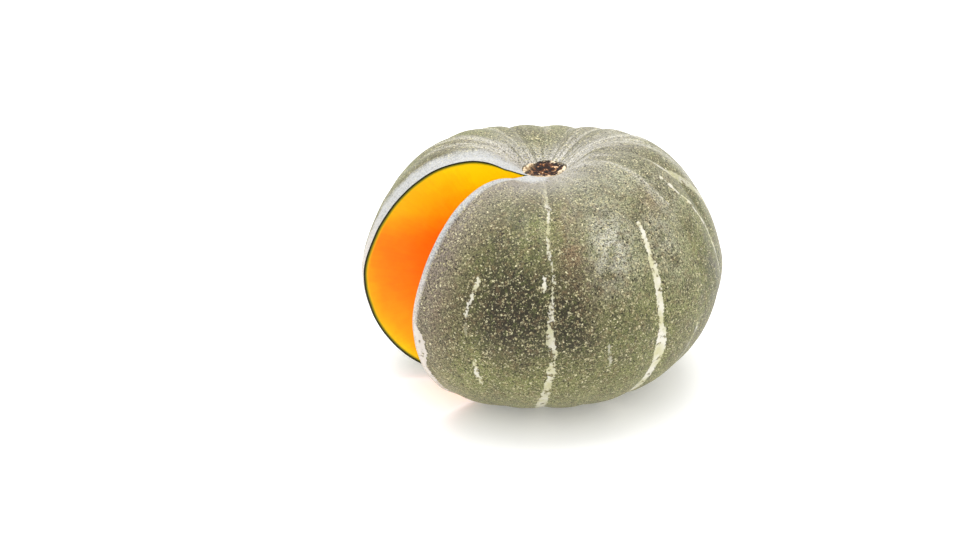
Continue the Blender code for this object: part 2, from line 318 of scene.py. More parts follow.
@dataclass(frozen=True)
class FruitForm:
    """The grown shape of the fruit, from the driving dimensions of the CAD node."""

    radius: float = 0.110
    upper_height: float = 0.0806
    lower_height: float = 0.0723
    flat_spot_cut: float = 0.0008
    shoulder_power: float = 2.88
    shoulder_root: float = 1.54
    belly_power: float = 3.72
    belly_root: float = 1.79
    hollow_depth: float = 0.0207
    hollow_floor: float = 0.0105
    hollow_width: float = 0.0263
    hollow_power: float = 1.3
    hollow_end_share: float = 0.5
    oval_share: float = 0.021
    oval_azimuth: float = math.radians(-72)
    lean_share: float = 0.030
    lean_azimuth: float = math.radians(123)
    saddle_share: float = 0.057
    saddle_azimuth: float = math.radians(55)
    uneven_start: float = 0.10
    uneven_full: float = 0.29
    swell: float = 0.0012
    swell_size: float = 0.055
    swell_from_share: float = 0.4
    ribs: int = 18
    first_suture: float = math.radians(-25)
    rib_wander: float = math.radians(1.6)
    rib_depth_shoulder: float = 0.0020
    rib_depth_belly: float = 0.0012
    minor_suture_share: float = 0.62
    suture_power: float = 2.2
    suture_start: float = 0.10
    suture_full: float = 0.35
    shoulder_end: float = 0.72
    belly_suture_end: float = 0.30
    belly_suture_full: float = 0.65
    button_radius: float = 0.0045
    dip_radius: float = 0.0090
    dip_width: float = 0.0032
    dip_depth: float = 0.0022
    dimple: float = 0.00022
    dimple_size: float = 0.010
    inset: float = 0.00022

    def plan_share(self, azimuth: float) -> float:
        """How far the oval plan reaches at an azimuth, as a share of the radius."""
        return 1 + self.oval_share * math.cos(2 * (azimuth - self.oval_azimuth))

    def shoulder_share(self, azimuth: float) -> float:
        """How high the shoulder stands at an azimuth, as a share of the upper height."""
        lean = self.lean_share * math.cos(azimuth - self.lean_azimuth)
        saddle = self.saddle_share * math.cos(2 * (azimuth - self.saddle_azimuth))
        return 1 + lean + saddle

    def skin_height(self, share: float, azimuth: float | None, upper: bool) -> float:
        """Height over the equator, ribs left out.

        Args:
            share: Distance from the axis as a share of the radius.
            azimuth: Azimuth in radians, or None for the mean of them all.
            upper: Whether the place is above the equator.

        Returns:
            The height in metres.
        """
        if not upper:
            return -self.lower_height * (1 - share**self.belly_power) ** (1 / self.belly_root)
        rise = 1.0
        if azimuth is not None:
            uneven = smooth(share, self.uneven_start, self.uneven_full)
            rise += (self.shoulder_share(azimuth) - 1) * uneven
        dome = (1 - share**self.shoulder_power) ** (1 / self.shoulder_root)
        return self.upper_height * rise * dome - self.stem_hollow(share)

    def stem_hollow(self, share: float) -> float:
        """Depth of the hollow round the stem, flat under the scar and a funnel round it."""
        up_the_wall = max(share * self.radius - self.hollow_floor, 0.0) / self.hollow_width
        end = 1 - smooth(share, self.hollow_end_share, 1.0)
        return self.hollow_depth * math.exp(-(up_the_wall**self.hollow_power)) * end

    def suture_dip(self, share: float, azimuth: float, upper: bool) -> float:
        """Depth of the rib pattern below the ribs' crests; every second suture is deeper."""
        wander = math.sin(2 * azimuth + 1) + 0.6 * math.sin(5 * azimuth + 2)
        turned = azimuth + self.rib_wander * wander - self.first_suture
        phase = turned * self.ribs / math.tau
        nearest = round(phase)
        valley = (1 - 2 * abs(phase - nearest)) ** self.suture_power
        strength = 1.0 if nearest % 2 == 0 else self.minor_suture_share
        if upper:
            belly = smooth(share, self.shoulder_end, 1.0)
            depth = self.rib_depth_shoulder * (1 - belly) + self.rib_depth_belly * belly
        else:
            belly = smooth(share, self.belly_suture_end, self.belly_suture_full)
            depth = self.rib_depth_belly * belly
        return depth * valley * strength * smooth(share, self.suture_start, self.suture_full)

    def blossom_dip(self, radius: float) -> float:
        """Height of the ring-shaped dip round the blossom button."""
        return self.dip_depth * bump(radius, self.dip_radius, self.dip_width)

    def skin_point(self, polar: float, azimuth: float) -> Vector:
        """A point of the skin; polar runs from 0 at the stem to pi at the blossom end."""
        share = math.sin(polar)
        upper = polar <= math.pi / 2
        radius = self.radius * self.plan_share(azimuth) * share
        point = on_ring(radius, azimuth, self.skin_height(share, azimuth, upper))
        swell = self.swell * noise.noise(point / self.swell_size)
        swell *= smooth(share, end=self.swell_from_share)
        swell += self.dimple * noise.noise(point / self.dimple_size) * smooth(share, 0.1, 0.3)
        swell -= self.suture_dip(share, azimuth, upper) + self.inset
        point *= 1 + swell / point.length
        point.z = max(point.z + self.lower_height - self.flat_spot_cut, 0.0)
        if not upper and radius > self.button_radius:
            point.z += self.blossom_dip(radius)
        return point

    def meridian(self, steps: int = 720) -> tuple[np.ndarray, np.ndarray]:
        """Measures the mean meridian.

        Args:
            steps: How many straight steps it is measured in.

        Returns:
            Polar angles, and the millimetres of skin from the stem's middle to each.
        """
        polars = np.linspace(0.0, math.pi, steps + 1)
        rows = []
        for polar in polars:
            share = min(math.sin(polar), 1.0)
            rows.append((self.radius * share, self.skin_height(share, None, polar <= math.pi / 2)))
        lengths = np.linalg.norm(np.diff(np.array(rows), axis=0), axis=1)
        return polars, np.concatenate([[0.0], np.cumsum(lengths)]) / MM


FORM = FruitForm()


@dataclass(frozen=True)
class MissingWedge:
    """The two upright planes along which the wedge was cut out."""

    apex: Vector = Vector((-0.0142, -0.0077, 0.0))
    half_angle: float = math.radians(20.6)

    def way(self, cut: Cut) -> Vector:
        """The level direction in which a cut face leaves the apex line."""
        return Vector((-math.cos(self.half_angle), cut.value * math.sin(self.half_angle), 0.0))

    def apex_distance(self) -> float:
        """How far the apex line stands from the axis."""
        return self.apex.length

    def apex_azimuth(self) -> float:
        """The azimuth of the apex line."""
        return math.atan2(self.apex.x, -self.apex.y)

    def crossing(self, radius: float, cut: Cut) -> Vector:
        """Where a circle round the axis crosses a cut face, at height 0."""
        along = self.apex.dot(self.way(cut))
        reach = max(along * along - self.apex.length_squared + radius * radius, 0.0)
        return self.apex + self.way(cut) * max(math.sqrt(reach) - along, 0.0)

    def azimuth_of(self, place: Vector, cut: Cut) -> float:
        """The azimuth of a place on a cut face, counted on past the back for the far face."""
        azimuth = math.atan2(place.x, -place.y)
        return azimuth + math.tau if cut is Cut.FAR else azimuth

    def distance(self, place: Vector, cut: Cut) -> float:
        """How far a place is from a cut face."""
        offset = Vector((place.x - self.apex.x, place.y - self.apex.y, 0.0))
        along = offset.dot(self.way(cut))
        return (offset - self.way(cut) * max(along, 0.0)).length


WEDGE = MissingWedge()


@dataclass(frozen=True)
class SeedCavity:
    """The ellipsoid hollow in the flesh that the pulp fills."""

    centre: Vector = Vector((0.0, 0.0, 0.069))
    radius: float = 0.050
    half_height: float = 0.039

    def height(self, polar: float) -> float:
        """Height of the wall at a polar angle."""
        return self.centre.z + self.half_height * math.cos(polar)


CAVITY = SeedCavity()


# Markings of the skin


@dataclass(frozen=True)
class Stripe:
    """A ragged cream stripe that follows a suture.

    Attributes:
        route: Pairs of mm of skin below the stem and azimuth in degrees, from the top down.
        widths: Its width in mm at each of those.
        cover: How much of the skin's colour it hides.
    """

    route: tuple[tuple[float, float], ...]
    widths: tuple[float, ...]
    cover: float = 1.0

    def inside(self, azimuth: float, below: float, radius_mm: float) -> float:
        """How far a place lies inside the stripe's edge, in mm, negative outside it."""
        steps = [step for step, _ in self.route]
        middle = float(np.interp(below, steps, [turn for _, turn in self.route]))
        width = float(np.interp(below, steps, self.widths))
        wander = 0.5 * math.sin(below / 9 + middle)
        turn = math.radians((azimuth - middle + 180) % 360 - 180)
        across = abs(turn * radius_mm - wander)
        ends = min(below - steps[0], steps[-1] - below) / 2
        return min(width / 2 - across, ends)


@dataclass(frozen=True)
class Patch:
    """A soft-edged area of the skin with a tint of its own, sized in degrees and mm."""

    mark: str
    azimuth: float
    below: float
    width: float
    height: float
    strength: float = 1.0

    def amount(self, azimuth: float, below: float) -> float:
        """How strong the tint is at a place."""
        turn = (azimuth - self.azimuth + 180) % 360 - 180
        return self.strength * math.exp(
            -((turn / self.width) ** 2) - ((below - self.below) / self.height) ** 2
        )


STRIPES = (
    Stripe(
        ((118, -68.6), (155, -67.4), (164, -66.2), (173, -65.8), (182, -66.4), (196, -66.2))
        + ((230, -65.4), (262, -65.0)),
        (0.6, 1.2, 6.8, 6.6, 3.4, 2.4, 1.8, 1.2),
        0.88,
    ),
    Stripe(((116, -47.8), (127, -48.6), (132, -49.2), (140, -50.2)), (2.2, 2.8, 2.2, 1.8), 0.85),
    Stripe(((139, -49.6), (153, -49.2)), (2.0, 2.2), 0.3),
    Stripe(((165, -47.4), (174, -47.0), (182, -46.6), (190, -46.0)), (1.2, 2.2, 2.6, 2.2), 0.9),
    Stripe(((46, -25.4), (64, -25.2)), (1.5, 1.6), 0.4),
    Stripe(((63, -25.3), (68, -25.1), (76, -24.9), (87, -24.8)), (2.0, 2.2, 1.8, 1.5), 0.65),
    Stripe(((88, -24.7), (95, -24.5), (105, -24.1)), (2.2, 2.2, 1.6), 0.75),
    Stripe(((112, -26.1), (122, -26.3)), (2.8, 3.0), 0.95),
    Stripe(
        ((106, -23.9), (115, -23.6), (129, -23.7), (133, -23.9), (152, -24.1), (158, -23.9)),
        (0.9, 1.4, 1.6, 3.4, 4.8, 4.6),
        0.8,
    ),
    Stripe(((128, -24.9), (137, -24.8)), (1.0, 1.0), 0.8),
    Stripe(((154, -23.3), (162, -23.1), (171, -23.5)), (3.0, 1.8, 1.6), 0.8),
    Stripe(
        ((166, -24.0), (172, -23.9), (180, -24.3), (190, -25.2), (206, -26.6), (262, -27.0)),
        (1.6, 4.6, 4.0, 4.0, 6.6, 4.0),
        0.85,
    ),
    Stripe(((138, -5.5), (155, -5.5)), (0.8, 1.2), 0.3),
    Stripe(((158, -6.0), (166, -5.6), (177, -5.0)), (1.4, 2.2, 1.2), 0.5),
    Stripe(
        ((91, 14.9), (97, 14.5), (106, 14.0), (116, 13.5), (131, 13.5), (143, 13.5), (148, 13.5))
        + ((155, 13.6), (161, 13.9), (172, 14.0), (183, 14.4), (193, 14.0), (204, 13.0))
        + ((262, 12.0),),
        (1.4, 2.2, 3.2, 4.8, 4.4, 5.2, 3.8, 4.2, 7.6, 8.8, 6.6, 6.0, 7.4, 4.0),
    ),
    Stripe(((74, 32.0), (86, 33.5), (93, 34.5)), (0.8, 1.4, 0.8), 0.6),
    Stripe(((158, 31.2), (168, 32.0), (178, 31.0), (206, 30.0)), (1.6, 2.6, 2.6, 1.6), 0.4),
    Stripe(((165, 32.2), (171, 32.2)), (1.6, 1.8)),
    Stripe(
        ((76, 42.0), (89, 44.0), (101, 47.8), (113, 50.6), (119, 51.8), (127, 51.8), (136, 53.2))
        + ((150, 54.0),),
        (1.6, 2.4, 3.0, 3.6, 3.8, 3.6, 3.4, 1.6),
        0.9,
    ),
    Stripe(
        ((62, 50.0), (80, 53.5), (96, 60.0), (111, 66.5), (124, 69.5), (150, 70.0)),
        (1.8, 5.0, 7.0, 7.0, 5.0, 1.6),
        0.6,
    ),
    Stripe(((182, 75.0), (210, 74.6), (240, 74.0)), (1.2, 2.6, 2.0), 0.8),
    Stripe(((66, 94.0), (120, 95.0), (160, 93.6), (262, 94.0)), (1.2, 2.0, 4.6, 6.0)),
    Stripe(((150, 113.0), (173, 112.2)), (1.5, 1.2), 0.7),
    Stripe(((72, 134.5), (110, 133.4), (170, 134.6), (262, 134.0)), (1.8, 2.4, 5.0, 5.8)),
    Stripe(((124, 156.0), (150, 155.2)), (1.4, 1.8), 0.7),
    Stripe(((190, 154.5), (238, 154.0)), (1.2, 2.6), 0.8),
    Stripe(((68, 174.0), (118, 175.2), (150, 174.2), (262, 175.0)), (1.2, 2.2, 4.8, 6.4)),
    Stripe(((160, 196.0), (179, 196.8)), (1.5, 1.3), 0.7),
    Stripe(((78, 214.4), (130, 215.8), (176, 214.8), (262, 215.0)), (1.8, 2.6, 5.2, 5.6)),
    Stripe(((110, 235.0), (134, 235.8)), (1.3, 1.5), 0.7),
    Stripe(((185, 236.5), (242, 236.0)), (1.3, 2.6), 0.8),
)

PATCHES = (
    Patch("dark", -36, 132, 12, 28, 1.2),
    Patch("dark", -19, 138, 7, 26, 0.8),
    Patch("dark", 2, 140, 9, 20, 0.25),
    Patch("dark", 42, 138, 6, 20, 0.35),
    Patch("dark", -10, 158, 20, 16, 0.3),
    Patch("dark", -43, 90, 11, 22, 0.5),
    Patch("brown", -46, 86, 8, 16, 0.5),
    Patch("grey", -1, 99, 11, 24, 1.0),
    Patch("grey", 22, 108, 8, 26, 0.5),
    Patch("grey", 38, 84, 14, 18, 0.5),
    Patch("grey", 16, 62, 22, 14, 0.4),
    Patch("brown", -16, 94, 5, 30, 0.9),
    Patch("brown", -61, 140, 5, 30, 0.5),
    Patch("brown", 25, 84, 5, 9, 0.7),
    Patch("bare", 160, 36, 36, 26, 0.9),
    Patch("grey", 88, 58, 24, 26, 1.0),
    Patch("grey", 61, 172, 6, 36, 0.8),
    Patch("grey", 73, 150, 5, 30, 0.5),
    Patch("bare", -150, 52, 20, 14, 0.4),
    Patch("bare", -34, 62, 12, 10, 0.4),
    Patch("green", 30, 136, 18, 44, 1.0),
    Patch("green", 48, 132, 10, 20, 1.0),
    Patch("dark", 50, 144, 8, 20, 0.3),
    Patch("dark", 56, 104, 4, 18, 0.55),
    Patch("green", 56, 100, 6, 22, 0.8),
    Patch("green", 44, 96, 5, 14, 0.7),
    Patch("grey", 72, 96, 7, 34, 0.9),
    Patch("green", 6, 156, 12, 22, 0.6),
    Patch("green", -14, 184, 34, 20, 0.7),
    Patch("green", -52, 186, 10, 12, 1.0),
    Patch("green", -47, 72, 10, 14, 0.5),
    Patch("green", -20, 72, 8, 10, 0.35),
    Patch("green", 22, 68, 8, 7, 0.6),
    Patch("dark", 104, 140, 16, 34, 0.55),
    Patch("grey", 126, 104, 14, 28, 0.9),
    Patch("green", 160, 140, 22, 46, 0.8),
    Patch("dark", 190, 122, 14, 30, 0.65),
    Patch("grey", 214, 100, 12, 26, 0.7),
    Patch("green", 236, 150, 14, 40, 0.7),
    Patch("green", 76, 158, 14, 40, 0.6),
)


@dataclass(frozen=True)
class RipenessAndBounce:
    """How orange the cut flesh is, from 0, yellow, to 60, deep orange; sizes in mm. The change with
    height is painted shade and painted orange bounce light; the rise with depth under the skin is
    the flesh's own.
    """

    # By height: painted shade and painted orange bounce light on the cut faces
    levels: tuple[tuple[int, int], ...] = (
        (0, 8), (20, 12), (40, 22), (70, 33), (90, 37), (95, 35), (99, 31), (103, 27), (107, 23),
        (110, 17), (114, 15), (118, 13), (125, 11), (132, 8), (136, 5), (140, 2), (150, 0),
    )  # fmt: skip
    inward: float = 0.24
    inward_from: float = 8.0
    inward_heights: tuple[float, float] = (118.0, 136.0)
    rind_loss: float = 12.0
    rind_depth: float = 12.0
    rind_heights: tuple[float, float] = (60.0, 100.0)
    crown_loss: float = 10.0
    crown_reach: tuple[float, float] = (22.0, 50.0)
    crown_heights: tuple[float, float] = (104.0, 124.0)

    def at(self, depth: float, height: float, apart: float) -> float:
        """How orange the flesh is at a place.

        Args:
            depth: How far the place lies under the skin.
            height: How far it lies over the resting plane.
            apart: How far it lies from the edge where the two cuts meet.

        Returns:
            A value from 0 to 60.
        """
        heights, values = zip(*self.levels)
        inward = self.inward * max(depth - self.inward_from, 0.0)
        # The painted shade and orange bounce light, by height
        ripe_and_bounce = float(np.interp(height, heights, values))
        ripe_and_bounce += inward * (1 - smooth(height, *self.inward_heights))
        rind = (1 - smooth(depth, 0, self.rind_depth)) * (1 - smooth(height, *self.rind_heights))
        crown = (1 - smooth(apart, *self.crown_reach)) * smooth(height, *self.crown_heights)
        return ripe_and_bounce - self.rind_loss * rind - self.crown_loss * crown


RIPENESS_AND_BOUNCE = RipenessAndBounce()


# The fruit


@dataclass
class Fruit:
    """The fruit as one closed mesh: skin, both cut faces and the wall of the seed cavity."""

    form: FruitForm
    wedge: MissingWedge
    cavity: SeedCavity
    columns: int = 350
    rings: int = 150
    top_rings: int = 5
    socket_rings: int = 4
    bottom_rings: int = 10
    depth_steps: int = 34
    wall_columns: int = 60
    wall_cap_rings: int = 6
    wall_depth_mm: float = 55.0
    wall_ripe: float = 46.0
    crease: float = math.radians(42)
    knife_relief: float = 0.00018
    knife_coarse: float = 0.009
    knife_fine: float = 0.003
    knife_edge_share: float = 0.3
    face_steps_power: float = 1.3
    thin_rind: float = 1.2
    thin_rind_mm: tuple[float, float] = (6.0, 26.0)
    map_start: float = -70.0
    map_turn: float = 380.0
    beyond_stripe_mm: float = -6.0
    beyond_cut_mm: float = 60.0
    calm_azimuth: float = -27.0
    calm_streaks: float = 0.25
    calm_width: tuple[float, float] = (32.0, 75.0)

    def __post_init__(self) -> None:
        """Measures the meridian and finds where the cuts begin and end on it."""
        self.polars, self.lengths = self.form.meridian()
        self.upper_apex = self.polar_of_apex(0.0, 0.5)
        self.lower_apex = self.polar_of_apex(math.pi, math.pi - 0.5)

    def polar_of_apex(self, inner: float, outer: float) -> float:
        """The polar angle at which the apex line comes out of the skin, between two others."""
        azimuth = self.wedge.apex_azimuth()
        for _ in range(40):
            middle = (inner + outer) / 2
            point = self.form.skin_point(middle, azimuth)
            if math.hypot(point.x, point.y) < self.wedge.apex_distance():
                inner = middle
            else:
                outer = middle
        return (inner + outer) / 2

    def below_mm(self, polar: float) -> float:
        """Millimetres of skin from the stem's middle to a polar angle."""
        return float(np.interp(polar, self.polars, self.lengths))

    def polar_at(self, below: float) -> float:
        """The polar angle that lies so many millimetres from the stem's middle."""
        return float(np.interp(below, self.lengths, self.polars))

    def cut_polar(self, row: int) -> float:
        """The polar angle of a ring that the cuts cross, evenly spaced along the skin."""
        first = self.below_mm(self.upper_apex)
        last = self.below_mm(self.lower_apex)
        if row == 0:
            return self.upper_apex
        if row == self.rings:
            return self.lower_apex
        return self.polar_at(first + (last - first) * row / self.rings)

    def edge_spot(self, polar: float, cut: Cut) -> tuple[Vector, float]:
        """Where a ring meets a cut face.

        Args:
            polar: The ring's polar angle.
            cut: Which face.

        Returns:
            The point on the skin and its azimuth.
        """
        azimuth = self.wedge.apex_azimuth()
        if cut is Cut.FAR:
            azimuth += math.tau
        for _ in range(12):
            point = self.form.skin_point(polar, azimuth)
            crossing = self.wedge.crossing(math.hypot(point.x, point.y), cut)
            azimuth = self.wedge.azimuth_of(crossing, cut)
        return Vector((crossing.x, crossing.y, point.z)), azimuth

    def skin_marks(self, point: Vector, azimuth: float, below: float) -> dict[str, float]:
        """What the skin's finish needs to know at a place."""
        degrees = math.degrees(azimuth)
        radius_mm = math.hypot(point.x, point.y) / MM
        marks = dict.fromkeys(("depth_mm", "dark", "grey", "brown", "green", "bare"), 0.0)
        inside, cover = max(
            (stripe.inside(degrees, below, radius_mm), stripe.cover) for stripe in STRIPES
        )
        marks["stripe_mm"] = max(inside, self.beyond_stripe_mm)
        marks["stripe_cover"] = cover
        turn = abs((degrees - self.calm_azimuth + 180) % 360 - 180)
        streaks = (1 - self.calm_streaks) * smooth(turn, *self.calm_width)
        marks["streaky"] = self.calm_streaks + streaks
        for patch in PATCHES:
            marks[patch.mark] += patch.amount(degrees, below)
        for cut in Cut:
            away = self.wedge.distance(point, cut) / MM
            marks[f"{cut.name.lower()}_cut_mm"] = min(away, self.beyond_cut_mm)
        return marks

    def skin_spot(self, point: Vector, azimuth: float, below: float) -> Spot:
        """A spot of the skin with its map and marks."""
        across = (math.degrees(azimuth) - self.map_start) / self.map_turn
        return Spot(point, (across, below / SKIN_MAP_MM), self.skin_marks(point, azimuth, below))

    def skin_between_cuts(self) -> bpy.types.Object:
        """The skin that runs from the near cut round the back to the far cut."""
        edges = []
        for row in range(self.rings + 1):
            polar = self.cut_polar(row)
            edges.append((polar, self.edge_spot(polar, Cut.NEAR), self.edge_spot(polar, Cut.FAR)))

        def spot_at(row: int, column: int) -> Spot:
            """Where one vertex of the sheet goes."""
            polar, near, far = edges[row]
            below = self.below_mm(polar)
            if column == 0:
                return self.skin_spot(*near, below)
            if column == self.columns:
                return self.skin_spot(*far, below)
            azimuth = near[1] + (far[1] - near[1]) * column / self.columns
            return self.skin_spot(self.form.skin_point(polar, azimuth), azimuth, below)

        return Sheet("skin_between_cuts", self.rings, self.columns).shaped(spot_at)

    def full_turn(self, column: int) -> float:
        """The azimuth of a column where the cuts don't reach, once round from the apex line."""
        return self.wedge.apex_azimuth() + math.tau * column / self.columns

    def skin_round_stem(self) -> bpy.types.Object:
        """The skin between the cuts' first ring and the stem scar, and the scar's socket."""

        def spot_at(row: int, column: int) -> Spot:
            """Where one vertex of the sheet goes."""
            azimuth = self.full_turn(column)
            socket = SCAR.outline(azimuth) + SCAR.gap
            reach = self.form.radius * self.form.plan_share(azimuth)
            rim = math.asin(socket / reach)
            if row <= self.top_rings:
                polar = self.upper_apex + (rim - self.upper_apex) * row / self.top_rings
                point = self.form.skin_point(polar, azimuth)
                return self.skin_spot(point, azimuth, self.below_mm(polar))
            point = self.form.skin_point(rim, azimuth)
            inward = (row - self.top_rings) / self.socket_rings
            point.z -= (SCAR.sink + SCAR.gap) * min(2 * inward, 1.0)
            point.xy *= min(2 - 2 * inward, 1.0)
            return self.skin_spot(point, azimuth, self.below_mm(rim))

        rows = self.top_rings + self.socket_rings
        return Sheet("skin_round_stem", rows, self.columns).shaped(spot_at)

    def skin_round_button(self) -> bpy.types.Object:
        """The skin between the cuts' last ring and the middle of the blossom button."""

        def spot_at(row: int, column: int) -> Spot:
            """Where one vertex of the sheet goes."""
            azimuth = self.full_turn(column)
            polar = self.lower_apex + (math.pi - self.lower_apex) * row / self.bottom_rings
            point = self.form.skin_point(polar, azimuth)
            return self.skin_spot(point, azimuth, self.below_mm(polar))

        return Sheet("skin_round_button", self.bottom_rings, self.columns).shaped(spot_at)

    def wall_polar(self, row: int) -> float:
        """The polar angle of the cavity wall that a ring of the cut faces ends at."""
        first = math.asin(self.wedge.apex_distance() / self.cavity.radius)
        return first + (math.pi - 2 * first) * row / self.rings

    def wall_edge(self, row: int, cut: Cut) -> Vector:
        """Where the cavity wall meets a cut face."""
        polar = self.wall_polar(row)
        place = self.wedge.crossing(self.cavity.radius * math.sin(polar), cut)
        return Vector((place.x, place.y, self.cavity.height(polar)))

    def cut_face(self, cut: Cut) -> bpy.types.Object:
        """One face that the knife left, from the skin to the cavity wall."""
        across = self.wedge.way(cut).cross(Vector((0, 0, 1)))
        outer = [self.edge_spot(self.cut_polar(row), cut)[0] for row in range(self.rings + 1)]
        inner = [self.wall_edge(row, cut) for row in range(self.rings + 1)]

        def spot_at(row: int, column: int) -> Spot:
            """Where one vertex of the sheet goes."""
            share = (column / self.depth_steps) ** self.face_steps_power
            point = outer[row].lerp(inner[row], share)
            inland = math.sin(math.pi * share) * math.sin(math.pi * row / self.rings)
            relief = noise.noise(point / self.knife_coarse)
            relief += 0.5 * noise.noise(point / self.knife_fine)
            relief *= smooth(inland, end=self.knife_edge_share)
            place = point + across * self.knife_relief * relief
            depth = (point - outer[row]).length / MM
            apex_mm = (place - self.wedge.apex).xy.length / MM
            thin = 1 + self.thin_rind * (1 - smooth(apex_mm, *self.thin_rind_mm))
            # The flesh's orange, with painted shade and orange bounce light by height in it
            marks = {"depth_mm": depth * thin, "ripe_and_bounce": RIPENESS_AND_BOUNCE.at(depth, place.z / MM, apex_mm)}
            return Spot(place, (row / self.rings, depth / 100), marks)

        name = f"cut_face_{cut.name.lower()}"
        return Sheet(name, self.rings, self.depth_steps).shaped(spot_at)

    def cavity_wall(self) -> bpy.types.Object:
        """The wall of the seed cavity behind the pulp."""
        total = self.rings + 2 * self.wall_cap_rings
        marks = {"depth_mm": self.wall_depth_mm, "ripe_and_bounce": self.wall_ripe}

        def spot_at(row: int, column: int) -> Spot:
            """Where one vertex of the sheet goes."""
            cut_row = row - self.wall_cap_rings
            if 0 <= cut_row <= self.rings:
                near = self.wall_edge(cut_row, Cut.NEAR)
                far = self.wall_edge(cut_row, Cut.FAR)
                if column == 0:
                    return Spot(near, marks=marks)
                if column == self.wall_columns:
                    return Spot(far, marks=marks)
                polar = self.wall_polar(cut_row)
                first = self.wedge.azimuth_of(near, Cut.NEAR)
                last = self.wedge.azimuth_of(far, Cut.FAR)
            else:
                beyond = -cut_row if cut_row < 0 else cut_row - self.rings
                polar = self.wall_polar(0) * (1 - beyond / self.wall_cap_rings)
                if cut_row > 0:
                    polar = math.pi - polar
                first = self.wedge.apex_azimuth()
                last = first + math.tau
            azimuth = first + (last - first) * column / self.wall_columns
            radius = self.cavity.radius * math.sin(polar)
            return Spot(on_ring(radius, azimuth, self.cavity.height(polar)), marks=marks)

        return Sheet("cavity_wall", total, self.wall_columns).shaped(spot_at)

    def build(self) -> bpy.types.Object:
        """Makes the fruit as one closed mesh with a skin and a flesh finish."""
        skin, flesh = SkinFinish().material(), FleshFinish().material()
        outside = [self.skin_between_cuts(), self.skin_round_stem(), self.skin_round_button()]
        inside = [self.cut_face(Cut.NEAR), self.cut_face(Cut.FAR), self.cavity_wall()]
        for sheet in outside:
            sheet.data.materials.append(skin)
        for sheet in inside:
            sheet.data.materials.append(flesh)
        fruit = joined("pumpkin_fruit", outside + inside)
        tidy_mesh(fruit)
        bpy.ops.object.shade_smooth_by_angle(angle=self.crease)
        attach(fruit, BODY)
        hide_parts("fruit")
        return fruit


# The stem scar


@dataclass(frozen=True)
class StemScar:
    """The corky scar where the stem broke off, sunk in its socket."""

    radius: float = 0.0128
    oval_share: float = 0.10
    oval_azimuth: float = math.radians(108)
    wavy_share: float = 0.035
    pale_mean: float = 0.8
    pale_change: float = 0.35
    healed_azimuth: float = math.radians(-128)
    healed_share: tuple[float, float] = (0.45, 0.80)
    healed_most: float = 0.85
    sink: float = 0.0045
    gap: float = 0.0004
    rim_height: float = 0.0009
    rim_place: float = 0.92
    rim_width: float = 0.09
    bowl_depth: float = 0.0022
    bowl_share: float = 0.85
    pit_depth: float = 0.0011
    pit_size: float = 0.0032
    crumb_height: float = 0.0007
    crumb_size: float = 0.0011
    columns: int = 144
    face_rows: int = 44
    wall_rows: int = 8
    floor_rows: int = 6

    def outline(self, azimuth: float) -> float:
        """The scar's uneven radius."""
        oval = self.oval_share * math.cos(2 * (azimuth - self.oval_azimuth))
        return self.radius * (1 + oval + self.wavy_share * math.sin(5 * azimuth + 1.1))

    def marks(self, share: float, azimuth: float) -> dict[str, float]:
        """What the scar's finish needs to know: its share, its pale side and its healed side."""
        across = share * math.cos(azimuth - self.healed_azimuth)
        healed = self.healed_most * smooth(across, *self.healed_share)
        pale = self.pale_mean + self.pale_change * math.cos(azimuth - self.oval_azimuth)
        return {"scar_share": share, "scar_cream": pale, "scar_tan": healed}

    def top(self, share: float, point: Vector) -> float:
        """Height of the scar's face over the skin: a rim, a bowl, pits and crumbs."""
        flat = Vector((point.x, point.y, 0.0))
        rim = self.rim_height * bump(share, self.rim_place, self.rim_width)
        bowl = -self.bowl_depth * (1 - smooth(share, end=self.bowl_share))
        pits = self.pit_depth * noise.noise(flat / self.pit_size)
        crumbs = self.crumb_height * noise.turbulence(flat / self.crumb_size, 3, True) * 0.8
        edge = 1 - smooth(share, 0.9, 1.0)
        return rim + bowl + pits * (1 - smooth(share, self.rim_place)) + crumbs * edge

    def build(self) -> bpy.types.Object:
        """Makes the scar as a closed plug: its face, its wall and its floor."""
        level = FORM.skin_point(0.0, 0.0).z

        def spot_at(row: int, column: int) -> Spot:
            """Where one vertex of the sheet goes."""
            azimuth = math.tau * column / self.columns
            radius = self.outline(azimuth)
            if row <= self.face_rows:
                share = row / self.face_rows
                point = on_ring(radius * share, azimuth, level)
                point.z += self.top(share, point)
                return Spot(point, (share, 0.0), self.marks(share, azimuth))
            down = min((row - self.face_rows) / self.wall_rows, 1.0)
            beyond = row - self.face_rows - self.wall_rows
            share = 1 - max(beyond, 0) / self.floor_rows
            point = on_ring(radius * share, azimuth, level)
            point.z += self.top(1.0, point) * (1 - down) - self.sink * down
            return Spot(point, (1.0, down), self.marks(1.0, azimuth))

        rows = self.face_rows + self.wall_rows + self.floor_rows
        scar = Sheet("pumpkin_stem_scar", rows, self.columns).shaped(spot_at)
        tidy_mesh(scar)
        bpy.ops.object.shade_smooth()
        scar.data.materials.append(CorkFinish().material())
        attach(scar, BODY)
        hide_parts("stem_scar")
        return scar


SCAR = StemScar()


# Pulp, strands and seeds


